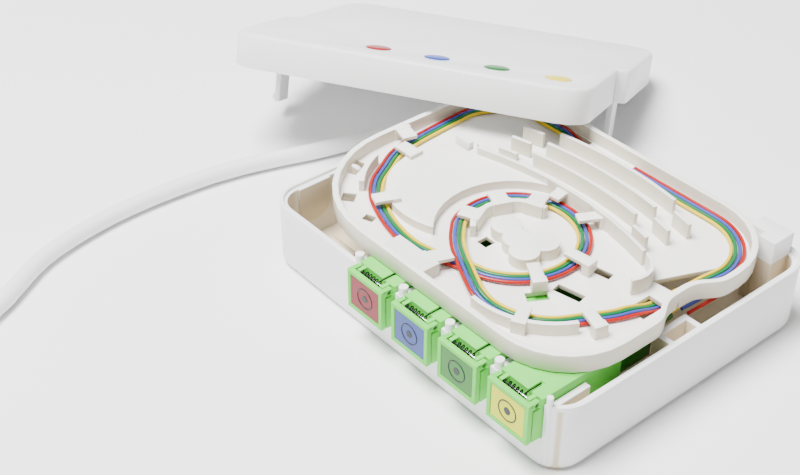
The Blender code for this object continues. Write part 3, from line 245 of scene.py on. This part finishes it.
@dataclass(frozen=True)
class Finish:
    """How one kind of surface looks."""

    name: str
    shade: Triple
    roughness: float = 0.38
    metallic: float = 0.0
    grain_scale: float = 900.0
    grain_depth: float = 0.12
    spread: float = 0.12
    mottle: float = 0.05
    shine: float = 0.5
    see_in: float = 0.0
    see_in_reach: float = 1.2 * MM
    # painted shade: a darker beige for upright faces, as if lit only from above
    upright_painted_shade: Triple | None = None
    # painted shade: a darker beige for the inside of the base, standing in for the shade in its
    # depth
    inner_painted_shade: Triple | None = None
    inner_half: Triple = (51.7 * MM, 41.7 * MM, 18.4 * MM)

    def material(self) -> bpy.types.Material:
        """Build the finish's material, or give the one already built.

        Returns:
            The material.
        """
        found = bpy.data.materials.get(self.name)
        if found:
            return found
        made = bpy.data.materials.new(self.name)
        made.use_nodes = True
        nodes, links = made.node_tree.nodes, made.node_tree.links
        shader = nodes["Principled BSDF"]
        grain = nodes.new("ShaderNodeGroup")
        grain.node_tree = grain_group()
        grain.inputs["Grain Scale"].default_value = self.grain_scale
        grain.inputs["Grain Depth"].default_value = self.grain_depth
        grain.inputs["Roughness"].default_value = self.roughness
        grain.inputs["Roughness Spread"].default_value = self.spread
        tone = nodes.new("ShaderNodeMix")
        tone.data_type = "RGBA"
        full = linear(*self.shade)
        tone.inputs["A"].default_value = tuple(c * (1 - self.mottle) for c in full[:3]) + (1.0,)
        tone.inputs["B"].default_value = full
        links.new(grain.outputs["Tone"], tone.inputs["Factor"])
        colour = tone.outputs["Result"]
        # painted shade: upright faces are blended towards a darker beige
        if self.upright_painted_shade:
            colour = self.painted_shade_blend(made, colour, self.upright_painted_shade, upright_painted_shade_group())
        # painted shade: the inside of the base is blended towards a darker beige
        if self.inner_painted_shade:
            colour = self.painted_shade_blend(made, colour, self.inner_painted_shade, inner_painted_shade_group(self.inner_half))
        links.new(colour, shader.inputs["Base Color"])
        links.new(grain.outputs["Roughness"], shader.inputs["Roughness"])
        links.new(grain.outputs["Normal"], shader.inputs["Normal"])
        shader.inputs["Metallic"].default_value = self.metallic
        shader.inputs["Specular IOR Level"].default_value = self.shine
        if self.see_in:
            shader.inputs["Subsurface Weight"].default_value = self.see_in
            shader.inputs["Subsurface Radius"].default_value = SEE_IN_TINT
            shader.inputs["Subsurface Scale"].default_value = self.see_in_reach
        return made

    @staticmethod
    def painted_shade_blend(made: bpy.types.Material, colour: bpy.types.NodeSocket, shade: Triple,
                group: bpy.types.NodeTree) -> bpy.types.NodeSocket:
        """Blend a painted shade over a colour where a mask is 1.

        Args:
            made: The material.
            colour: The colour under it.
            shade: The painted shade colour.
            group: A shader group with the output Mask.

        Returns:
            The colour to use.
        """
        nodes, links = made.node_tree.nodes, made.node_tree.links
        mask = nodes.new("ShaderNodeGroup")
        mask.node_tree = group
        blend = nodes.new("ShaderNodeMix")
        blend.data_type = "RGBA"
        blend.inputs["B"].default_value = linear(*shade)
        links.new(mask.outputs["Mask"], blend.inputs["Factor"])
        links.new(colour, blend.inputs["A"])
        return blend.outputs["Result"]


WHITE_SHELL = Finish("white_shell", (0.955, 0.955, 0.955), roughness=0.33, see_in=0.25)
# the base's inside gets a darker beige: painted shade of its depth
BASE_SHELL = Finish("base_shell", (0.955, 0.955, 0.955), roughness=0.33, see_in=0.1,
                    inner_painted_shade=(0.84, 0.78, 0.67))
# the tray's upright faces get a darker beige: painted shade, as if lit only from above
WARM_TRAY = Finish("warm_tray_white", (0.985, 0.98, 0.96), roughness=0.34, see_in=0.1,
                   upright_painted_shade=(0.84, 0.81, 0.74))
ADAPTER_GREEN = Finish("adapter_green", (0.07, 0.48, 0.03), roughness=0.36, see_in=0.1,
                       mottle=0.08, shine=0.25)
PLUG_GREEN = Finish("plug_green", (0.09, 0.46, 0.06), roughness=0.4, mottle=0.08, shine=0.25)
SPRING_WIRE = Finish("blackened_spring_wire", (0.10, 0.11, 0.10), roughness=0.3, metallic=0.85,
                     grain_depth=0.05)
PIN_STEEL = Finish("pin_steel", (0.62, 0.62, 0.63), roughness=0.25, metallic=1.0,
                   grain_depth=0.05)
ZIRCONIA = Finish("white_zirconia", (0.95, 0.95, 0.93), roughness=0.15, grain_depth=0.02)
JACKET = Finish("cable_jacket_white", (0.93, 0.93, 0.93), roughness=0.42, grain_scale=1400.0,
                grain_depth=0.2)
TIE_NYLON = Finish("tie_nylon", (0.92, 0.92, 0.90), roughness=0.4, see_in=0.2)
MARK_INK = Finish("mark_ink", (0.10, 0.12, 0.14), roughness=0.5)
PANELS = {t: Finish(f"panel_{t.value}_film", s, roughness=0.3, shine=0.2)
          for t, s in PANEL_SHADES.items()}
FIBRES = {t: Finish(f"fibre_{t.value}_buffer", s, roughness=0.27, grain_depth=0.04, shine=0.35)
          for t, s in FIBRE_SHADES.items()}
DOTS = {t: Finish(f"dot_{t.value}_plastic", s, roughness=0.3, shine=0.3)
        for t, s in DOT_SHADES.items()}


# ---- making meshes ----------------------------------------------------------
def body_of(node: str) -> str:
    """The CAD body that holds a node.

    Args:
        node: The node's name.

    Returns:
        The body's name.
    """
    groups: dict[str, list[str]] = frame["record"]["behaviour"]["bodies"]
    return next(body for body, members in groups.items() if node in members)


def show(name: str, mesh: bpy.types.Mesh, finish: Finish) -> bpy.types.Object:
    """Link a mesh to the scene as a piece with one finish.

    Args:
        name: The piece's name.
        mesh: Its mesh, already in place.
        finish: Its finish.

    Returns:
        The piece.
    """
    mesh.name = name
    mesh.materials.clear()
    mesh.materials.append(finish.material())
    piece = bpy.data.objects.new(name, mesh)
    bpy.context.scene.collection.objects.link(piece)
    return piece


def stand_for(piece: bpy.types.Object, node: str) -> None:
    """Let a piece ride where a CAD node rides and be shown in its place.

    Args:
        piece: The piece.
        node: The CAD node.
    """
    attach(piece, body_of(node))
    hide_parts(node)


def merged(node: str) -> bmesh.types.BMesh:
    """A copy of a CAD node with its loose triangles joined up.

    Args:
        node: The node's name.

    Returns:
        The joined mesh, for the caller to free.
    """
    shape = bmesh.new()
    shape.from_mesh(frame["nodes"][node].data)
    bmesh.ops.remove_doubles(shape, verts=shape.verts, dist=SAME_POINT)
    return shape


def finished(piece: bpy.types.Object) -> bpy.types.Object:
    """Apply a piece's modifiers, so that it is left as a plain mesh.

    Args:
        piece: The piece.

    Returns:
        The same piece.
    """
    graph = bpy.context.evaluated_depsgraph_get()
    mesh = bpy.data.meshes.new_from_object(piece.evaluated_get(graph))
    slots = list(piece.data.materials)
    piece.modifiers.clear()
    old = piece.data
    piece.data = mesh
    if not mesh.materials:
        for slot in slots:
            mesh.materials.append(slot)
    bpy.data.meshes.remove(old)
    return piece


@dataclass
class MouldedPiece:
    """A CAD node shown with the small rounded edges that a mould leaves."""

    node: str
    finish: Finish
    edge: float = 0.25 * MM
    segments: int = 2
    sharp: float = 32.0
    smooth: float = 40.0
    flat: float = 0.6

    def build(self) -> bpy.types.Object:
        """Make the piece and let it stand for its node.

        Returns:
            The piece.
        """
        shape = merged(self.node)
        bmesh.ops.dissolve_limit(shape, angle_limit=math.radians(self.flat),
                                 use_dissolve_boundaries=False,
                                 verts=shape.verts, edges=shape.edges)
        bmesh.ops.triangulate(shape, faces=[f for f in shape.faces if len(f.verts) > 4],
                              quad_method="BEAUTY", ngon_method="BEAUTY")
        mesh = bpy.data.meshes.new(self.node)
        shape.to_mesh(mesh)
        shape.free()
        piece = show("moulded_" + self.node, mesh, self.finish)
        if self.edge:
            bevel = piece.modifiers.new("rounded_edges", "BEVEL")
            bevel.width = self.edge
            bevel.segments = self.segments
            bevel.limit_method = "ANGLE"
            bevel.angle_limit = math.radians(self.sharp)
            bevel.use_clamp_overlap = True
            bevel.miter_outer = "MITER_ARC"
        finished(piece)
        piece.data.shade_smooth()
        piece.data.set_sharp_from_angle(angle=math.radians(self.smooth))
        stand_for(piece, self.node)
        return piece


def through(points: Sequence[Vector], steps: int) -> list[Vector]:
    """Points on a smooth curve through the given ones.

    Args:
        points: The points to pass through.
        steps: How many pieces each gap is split into.

    Returns:
        The finer points, both ends included.
    """
    route = [points[0] * 2 - points[1], *points, points[-1] * 2 - points[-2]]
    fine: list[Vector] = []
    for i in range(1, len(route) - 2):
        a, b, c, d = route[i - 1:i + 3]
        for k in range(steps):
            t = k / steps
            fine.append(0.5 * (2 * b + (c - a) * t + (2 * a - 5 * b + 4 * c - d) * t * t
                               + (3 * b - a - 3 * c + d) * t ** 3))
    fine.append(points[-1].copy())
    return fine


def round_line_tree() -> bpy.types.NodeTree:
    """Geometry Nodes that give a line a round section.

    Returns:
        A tree with the inputs Radius, Sides and Material.
    """
    found = bpy.data.node_groups.get("round_line")
    if found:
        return found
    tree = bpy.data.node_groups.new("round_line", "GeometryNodeTree")
    sockets = tree.interface
    sockets.new_socket("Geometry", in_out="INPUT", socket_type="NodeSocketGeometry")
    sockets.new_socket("Radius", in_out="INPUT", socket_type="NodeSocketFloat")
    sockets.new_socket("Sides", in_out="INPUT", socket_type="NodeSocketInt")
    sockets.new_socket("Material", in_out="INPUT", socket_type="NodeSocketMaterial")
    sockets.new_socket("Geometry", in_out="OUTPUT", socket_type="NodeSocketGeometry")
    nodes, links = tree.nodes, tree.links
    entry = nodes.new("NodeGroupInput")
    exit_ = nodes.new("NodeGroupOutput")
    line = nodes.new("GeometryNodeMeshToCurve")
    section = nodes.new("GeometryNodeCurvePrimitiveCircle")
    sweep = nodes.new("GeometryNodeCurveToMesh")
    sweep.inputs["Fill Caps"].default_value = True
    real = nodes.new("GeometryNodeRealizeInstances")
    dress = nodes.new("GeometryNodeSetMaterial")
    links.new(entry.outputs["Geometry"], line.inputs["Mesh"])
    links.new(entry.outputs["Radius"], section.inputs["Radius"])
    links.new(entry.outputs["Sides"], section.inputs["Resolution"])
    links.new(line.outputs["Curve"], sweep.inputs["Curve"])
    links.new(section.outputs["Curve"], sweep.inputs["Profile Curve"])
    links.new(sweep.outputs["Mesh"], real.inputs["Geometry"])
    links.new(real.outputs["Geometry"], dress.inputs["Geometry"])
    links.new(entry.outputs["Material"], dress.inputs["Material"])
    links.new(dress.outputs["Geometry"], exit_.inputs["Geometry"])
    return tree


def round_line(name: str, lines: Iterable[Sequence[Vector]], radius: float, sides: int,
               finish: Finish, closed: bool = False) -> bpy.types.Object:
    """A round tube, wire or ring along one or more lines.

    Args:
        name: The piece's name.
        lines: The points of each line.
        radius: Radius of the section.
        sides: How many sides the section has.
        finish: The finish.
        closed: Whether each line runs back to its start.

    Returns:
        The piece, as a plain mesh.
    """
    mesh = bpy.data.meshes.new(name)
    spots: list[Vector] = []
    edges: list[tuple[int, int]] = []
    for points in lines:
        first = len(spots)
        spots.extend(points)
        edges += [(first + k, first + k + 1) for k in range(len(points) - 1)]
        if closed:
            edges.append((len(spots) - 1, first))
    mesh.from_pydata(spots, edges, [])
    piece = show(name, mesh, finish)
    tree = round_line_tree()
    step = piece.modifiers.new("round_line", "NODES")
    step.node_group = tree
    values = {"Radius": radius, "Sides": sides, "Material": finish.material()}
    for socket in tree.interface.items_tree:
        if socket.item_type == "SOCKET" and socket.in_out == "INPUT" and socket.name in values:
            step[socket.identifier] = values[socket.name]
    finished(piece)
    shape = bmesh.new()
    shape.from_mesh(piece.data)
    bmesh.ops.remove_doubles(shape, verts=shape.verts, dist=SAME_SEAM)
    bmesh.ops.recalc_face_normals(shape, faces=shape.faces)
    shape.to_mesh(piece.data)
    shape.free()
    piece.data.shade_smooth()
    piece.data.set_sharp_from_angle(angle=math.radians(ROUND_SMOOTH))
    return piece


@dataclass
class Strand:
    """A CAD tube shown as a smooth round line along the same middle line."""

    node: str
    finish: Finish
    radius: float
    sides: int = 12
    steps: int = 4
    cap_reach: float = 2.3

    def middle_line(self) -> list[Vector]:
        """Walk the CAD tube ring by ring.

        Returns:
            The centre of each ring, from one end to the other.
        """
        shape = merged(self.node)
        shape.verts.ensure_lookup_table()
        order = self.layers([shape.verts[0]])
        end = order[-1][0]
        cap = [v for v in shape.verts
               if (v.co - end.co).length < self.radius * self.cap_reach]
        faces = [f for f in end.link_faces if all(v in cap for v in f.verts)]
        best = max(faces, key=lambda f: sum(self.on_plane(v.co, f) for v in cap))
        ring = [v for v in cap if self.on_plane(v.co, best)]
        rings = self.layers(ring)
        line = [sum((v.co for v in layer), Vector()) / len(layer) for layer in rings]
        shape.free()
        return line

    @staticmethod
    def on_plane(point: Vector, face: bmesh.types.BMFace) -> bool:
        """Whether a point lies in a face's plane."""
        return abs((point - face.verts[0].co).dot(face.normal)) < SAME_PLANE

    @staticmethod
    def layers(start: list[bmesh.types.BMVert]) -> list[list[bmesh.types.BMVert]]:
        """Sort vertices by how many edges they are from the first ones.

        Args:
            start: The first vertices.

        Returns:
            The vertices, layer by layer.
        """
        seen = set(start)
        rows = [list(start)]
        while rows[-1]:
            ahead = []
            for vert in rows[-1]:
                for edge in vert.link_edges:
                    other = edge.other_vert(vert)
                    if other not in seen:
                        seen.add(other)
                        ahead.append(other)
            rows.append(ahead)
        return rows[:-1]

    def build(self) -> bpy.types.Object:
        """Make the piece and let it stand for its node.

        Returns:
            The piece.
        """
        line = through(self.middle_line(), self.steps)
        piece = round_line("round_" + self.node, [line], self.radius, self.sides, self.finish)
        stand_for(piece, self.node)
        return piece


# ---- sub-assemblies ---------------------------------------------------------
@dataclass
class Base:
    """The white base with the pieces fixed in it."""

    edge: float = 0.3 * MM
    clamp_edge: float = 0.2 * MM
    screw_edge: float = 0.1 * MM
    end_radius: float = 2.4 * MM
    end_sides: int = 24
    end_steps: int = 4
    sleeve_radius: float = 1.3 * MM
    sleeve_sides: int = 14

    def build(self) -> list[bpy.types.Object]:
        """Make the base, the clamp, the cable's end and the inner sleeve.

        Returns:
            The pieces.
        """
        made = [
            MouldedPiece("base_box", BASE_SHELL, self.edge).build(),
            MouldedPiece("cable_clamp", WHITE_SHELL, self.clamp_edge).build(),
            MouldedPiece("clamp_screw_front", PIN_STEEL, self.screw_edge, 1).build(),
            MouldedPiece("clamp_screw_back", PIN_STEEL, self.screw_edge, 1).build(),
        ]
        low, high = (Vector(corner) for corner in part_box("cable_end_inside"))
        middle = (low + high) / 2
        ends = [Vector((low.x, middle.y, middle.z)), Vector((high.x, middle.y, middle.z))]
        inner = round_line("round_cable_end_inside", [through(ends, self.end_steps)],
                           self.end_radius, self.end_sides, JACKET)
        stand_for(inner, "cable_end_inside")
        made.append(inner)
        made.append(Strand("fibre_sleeve", JACKET, self.sleeve_radius, self.sleeve_sides).build())
        return made


@dataclass
class Port:
    """One adapter with its shutter, its spring and the plug behind it."""

    number: int
    tint: Tint
    body_edge: float = 0.12 * MM
    panel_edge: float = 0.06 * MM
    pin_edge: float = 0.05 * MM
    plug_edge: float = 0.3 * MM
    ferrule_edge: float = 0.1 * MM
    boot_edge: float = 0.2 * MM
    wire_radius: float = 0.17 * MM
    wire_sides: int = 8
    wire_steps: int = 3
    fibre_radius: float = 0.45 * MM
    mark_radius: float = 2.7 * MM
    mark_points: int = 48
    mark_line: float = 0.16 * MM
    mark_sides: int = 8
    mark_dot: float = 0.95 * MM
    dot_sides: int = 32
    dot_depth: float = 0.2 * MM

    def build(self) -> list[bpy.types.Object]:
        """Make the port's pieces.

        Returns:
            The pieces.
        """
        n, tint = self.number, self.tint
        made = [
            MouldedPiece(f"adapter_{n}_body", ADAPTER_GREEN, self.body_edge).build(),
            MouldedPiece(f"shutter_{n}_flap", ADAPTER_GREEN, self.body_edge).build(),
            MouldedPiece(f"shutter_{n}_panel_{tint.value}", PANELS[tint], self.panel_edge,
                         1).build(),
            MouldedPiece(f"adapter_{n}_hinge_pin", PIN_STEEL, self.pin_edge, 1).build(),
            MouldedPiece(f"adapter_{n}_sleeve", ZIRCONIA, self.pin_edge, 1).build(),
            MouldedPiece(f"plug_{n}_body", PLUG_GREEN, self.plug_edge).build(),
            MouldedPiece(f"plug_{n}_ferrule", ZIRCONIA, self.ferrule_edge, 1).build(),
            MouldedPiece(f"plug_{n}_boot", PLUG_GREEN, self.boot_edge, 1).build(),
            Strand(f"adapter_{n}_spring", SPRING_WIRE, self.wire_radius, self.wire_sides,
                   self.wire_steps).build(),
            Strand(f"pigtail_{n}_{tint.value}", FIBRES[tint], self.fibre_radius).build(),
        ]
        made += self.mark()
        return made

    def mark(self) -> list[bpy.types.Object]:
        """The plain ring and dot on the shutter's panel.

        Returns:
            The two pieces.
        """
        low, high = (Vector(corner) for corner
                     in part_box(f"shutter_{self.number}_panel_{self.tint.value}"))
        centre = Vector(((low.x + high.x) / 2, low.y, (low.z + high.z) / 2))
        ring = [centre + Vector((math.cos(a), 0.0, math.sin(a))) * self.mark_radius
                for a in (2 * math.pi * k / self.mark_points for k in range(self.mark_points))]
        loop = round_line(f"mark_ring_{self.number}", [ring], self.mark_line, self.mark_sides,
                          MARK_INK, closed=True)
        place = Matrix.Translation(centre) @ Matrix.Rotation(math.pi / 2, 4, "X")
        shape = bmesh.new()
        bmesh.ops.create_cone(shape, cap_ends=True, segments=self.dot_sides,
                              radius1=self.mark_dot, radius2=self.mark_dot,
                              depth=self.dot_depth, matrix=place)
        mesh = bpy.data.meshes.new(f"mark_dot_{self.number}")
        shape.to_mesh(mesh)
        shape.free()
        dot = show(f"mark_dot_{self.number}", mesh, MARK_INK)
        for piece in (loop, dot):
            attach(piece, f"shutter_{self.number}")
        return [loop, dot]


@dataclass
class Tray:
    """The splice tray with the four fibres that it carries."""

    edge: float = 0.28 * MM
    fibre_radius: float = 0.45 * MM
    fibre_sides: int = 12
    fibre_steps: int = 5

    def build(self) -> list[bpy.types.Object]:
        """Make the tray and its fibres.

        Returns:
            The pieces.
        """
        made = [MouldedPiece("splice_tray", WARM_TRAY, self.edge).build()]
        for number, tint in enumerate(Tint, 1):
            node = f"tray_fibre_{number}_{tint.value}"
            made.append(Strand(node, FIBRES[tint], self.fibre_radius, self.fibre_sides,
                               self.fibre_steps).build())
        return made


@dataclass
class Cover:
    """The loose cover with its four colour dots."""

    edge: float = 0.35 * MM
    sharp: float = 34.0
    dot_edge: float = 0.12 * MM

    def build(self) -> list[bpy.types.Object]:
        """Make the cover and its dots.

        Returns:
            The pieces.
        """
        made = [MouldedPiece("cover", WHITE_SHELL, self.edge, sharp=self.sharp).build()]
        for number, tint in enumerate(Tint, 1):
            node = f"cover_dot_{number}_{tint.value}"
            made.append(MouldedPiece(node, DOTS[tint], self.dot_edge).build())
        return made


@dataclass
class FeedCable:
    """The free cable: its run along the table, its neat coil and the tie."""

    diameter: float = 4.8 * MM
    length: float = 1.5
    sides: int = 20
    steps: int = 3
    tie_edge: float = 0.15 * MM
    route: tuple[Triple, ...] = (
        (-52.0, 28.0, 8.0), (-57.0, 28.0, 8.0), (-62.0, 27.8, 7.6), (-68.0, 25.6, 5.6),
        (-74.0, 20.5, 3.4), (-78.2, 13.0, 2.6), (-80.4, 4.0, 2.6), (-83.4, -7.0, 2.6),
        (-87.0, -17.5, 2.6), (-90.3, -29.0, 2.6), (-92.5, -42.5, 2.6), (-93.3, -62.0, 2.6),
        (-91.4, -79.0, 2.6), (-87.4, -93.0, 2.6), (-81.0, -104.0, 2.6), (-77.6, -109.8, 2.6))
    coil_centre: tuple[float, float] = (-99.5, -140.0)
    coil_radius: float = 27.5
    coil_start: float = 28.0
    coil_points: int = 18
    coil_height: float = 2.6
    layer_sink: float = 0.05
    shift_from: float = 0.55
    shift_share: float = 0.45
    lanes: tuple[tuple[int, int], ...] = (
        (1, 0), (0, 0), (-1, 0), (-1, 1), (0, 1), (1, 1), (0, 2), (-1, 2))

    def path(self) -> list[Vector]:
        """The cable's middle line: the run, then turn after turn of the coil.

        The route and the coil are in millimetres. Each turn lies in a lane, counted outwards
        and upwards in cable widths, and shifts to the next lane over its last part.

        Returns:
            Points in metres, cut to the cable's real length.
        """
        points = [Vector(p) for p in self.route]
        pitch = self.diameter / MM
        turns = len(self.lanes)
        for k in range(self.coil_points * turns):
            share = k / self.coil_points
            lane, here = int(share), share - int(share)
            ahead = self.lanes[min(lane + 1, turns - 1)]
            now = self.lanes[lane]
            blend = max(0.0, (here - self.shift_from) / self.shift_share)
            blend = blend * blend * (3 - 2 * blend)
            radius = self.coil_radius + pitch * (now[0] + (ahead[0] - now[0]) * blend)
            rise = now[1] + (ahead[1] - now[1]) * blend
            height = self.coil_height + (pitch - self.layer_sink) * rise
            turn = math.radians(self.coil_start - 360.0 * share)
            points.append(Vector((self.coil_centre[0] + radius * math.cos(turn),
                                  self.coil_centre[1] + radius * math.sin(turn), height)))
        fine = [p * MM for p in through(points, self.steps)]
        kept, reach = [fine[0]], 0.0
        for before, after in zip(fine, fine[1:]):
            step = (after - before).length
            if reach + step > self.length:
                kept.append(before.lerp(after, (self.length - reach) / step))
                break
            reach += step
            kept.append(after)
        return kept

    def build(self) -> list[bpy.types.Object]:
        """Make the cable and its tie.

        Returns:
            The pieces.
        """
        line = self.path()
        cable = round_line("feed_cable", [line], self.diameter / 2, self.sides, JACKET)
        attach(cable, "base")
        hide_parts("cable_run", "cable_coil")
        tie = MouldedPiece("coil_tie", TIE_NYLON, self.tie_edge, 1).build()
        return [cable, tie]


@dataclass(frozen=True)
class Lamp:
    """One soft square light: where it hangs, its side and its power in watts."""

    name: str
    spot: Triple
    size: float
    power: float


@dataclass
class Studio:
    """The pale floor, the soft lights and the camera."""

    lens: float = 61.55
    sensor: float = 36.0
    near: float = 0.01
    azimuth: float = 50.322
    elevation: float = 36.760
    distance: float = 354.88 * MM
    slide: tuple[float, float] = (-33.21 * MM, 12.57 * MM)
    floor_half: float = 1.6
    floor_shade: Triple = (0.97, 0.97, 0.97)
    floor_roughness: float = 0.7
    sky: float = 0.35
    aim: Triple = (0.0, 0.0, 0.02)
    lamps: tuple[Lamp, ...] = (
        Lamp("key", (-0.15, -0.25, 0.9), 0.45, 32.0),
        Lamp("fill", (0.8, -0.3, 0.4), 0.7, 0.8),
        Lamp("back", (0.1, 0.8, 0.6), 0.6, 1.0))

    def axes(self) -> tuple[Vector, Vector, Vector]:
        """The camera's right, up and backward directions."""
        turn, lift = math.radians(self.azimuth), math.radians(self.elevation)
        back = Vector((math.sin(turn) * math.cos(lift), -math.cos(turn) * math.cos(lift),
                       math.sin(lift)))
        right = Vector((math.cos(turn), math.sin(turn), 0.0))
        return right, back.cross(right), back

    def camera(self) -> None:
        """Set up the camera."""
        right, up, back = self.axes()
        place = Matrix((right, up, back)).transposed().to_4x4()
        place.translation = back * self.distance + right * self.slide[0] + up * self.slide[1]
        data = bpy.data.cameras.new("camera")
        data.lens = self.lens
        data.sensor_width = self.sensor
        data.clip_start = self.near
        camera = bpy.data.objects.new("camera", data)
        camera.matrix_world = place
        bpy.context.scene.collection.objects.link(camera)
        bpy.context.scene.camera = camera

    def light(self, lamp: Lamp) -> None:
        """Hang one lamp and point it at the aim.

        Args:
            lamp: The lamp.
        """
        data = bpy.data.lights.new(lamp.name, "AREA")
        data.size = lamp.size
        data.energy = lamp.power
        hung = bpy.data.objects.new(lamp.name, data)
        hung.location = Vector(lamp.spot)
        towards = Vector(self.aim) - Vector(lamp.spot)
        hung.rotation_euler = towards.to_track_quat("-Z", "Y").to_euler()
        bpy.context.scene.collection.objects.link(hung)

    def build(self) -> None:
        """Make the floor, the lights, the sky and the camera."""
        mesh = bpy.data.meshes.new("floor")
        half = self.floor_half
        corners = [(-half, -half, 0), (half, -half, 0), (half, half, 0), (-half, half, 0)]
        mesh.from_pydata(corners, [], [(0, 1, 2, 3)])
        floor = show("floor", mesh, Finish("floor_white", self.floor_shade, self.floor_roughness,
                                           grain_depth=0.0, spread=0.0, mottle=0.0))
        world = bpy.data.worlds.new("studio")
        world.use_nodes = True
        sky = world.node_tree.nodes["Background"]
        sky.inputs["Color"].default_value = (1.0, 1.0, 1.0, 1.0)
        sky.inputs["Strength"].default_value = self.sky
        bpy.context.scene.world = world
        for lamp in self.lamps:
            self.light(lamp)
        self.camera()


def main() -> None:
    """Build the studio and every sub-assembly, in order."""
    logging.basicConfig(level=logging.INFO, format="%(name)s: %(message)s")
    Studio().build()
    groups: list[tuple[str, list[bpy.types.Object]]] = [
        ("feed cable", FeedCable().build()), ("base", Base().build())]
    for number, tint in enumerate(Tint, 1):
        groups.append((f"port {number}", Port(number, tint).build()))
    groups.append(("tray", Tray().build()))
    groups.append(("cover", Cover().build()))
    for name, pieces in groups:
        for piece in pieces:
            LOG.info("%s: %s, %d faces", name, piece.name, len(piece.data.polygons))


if __name__ == "__main__":
    main()
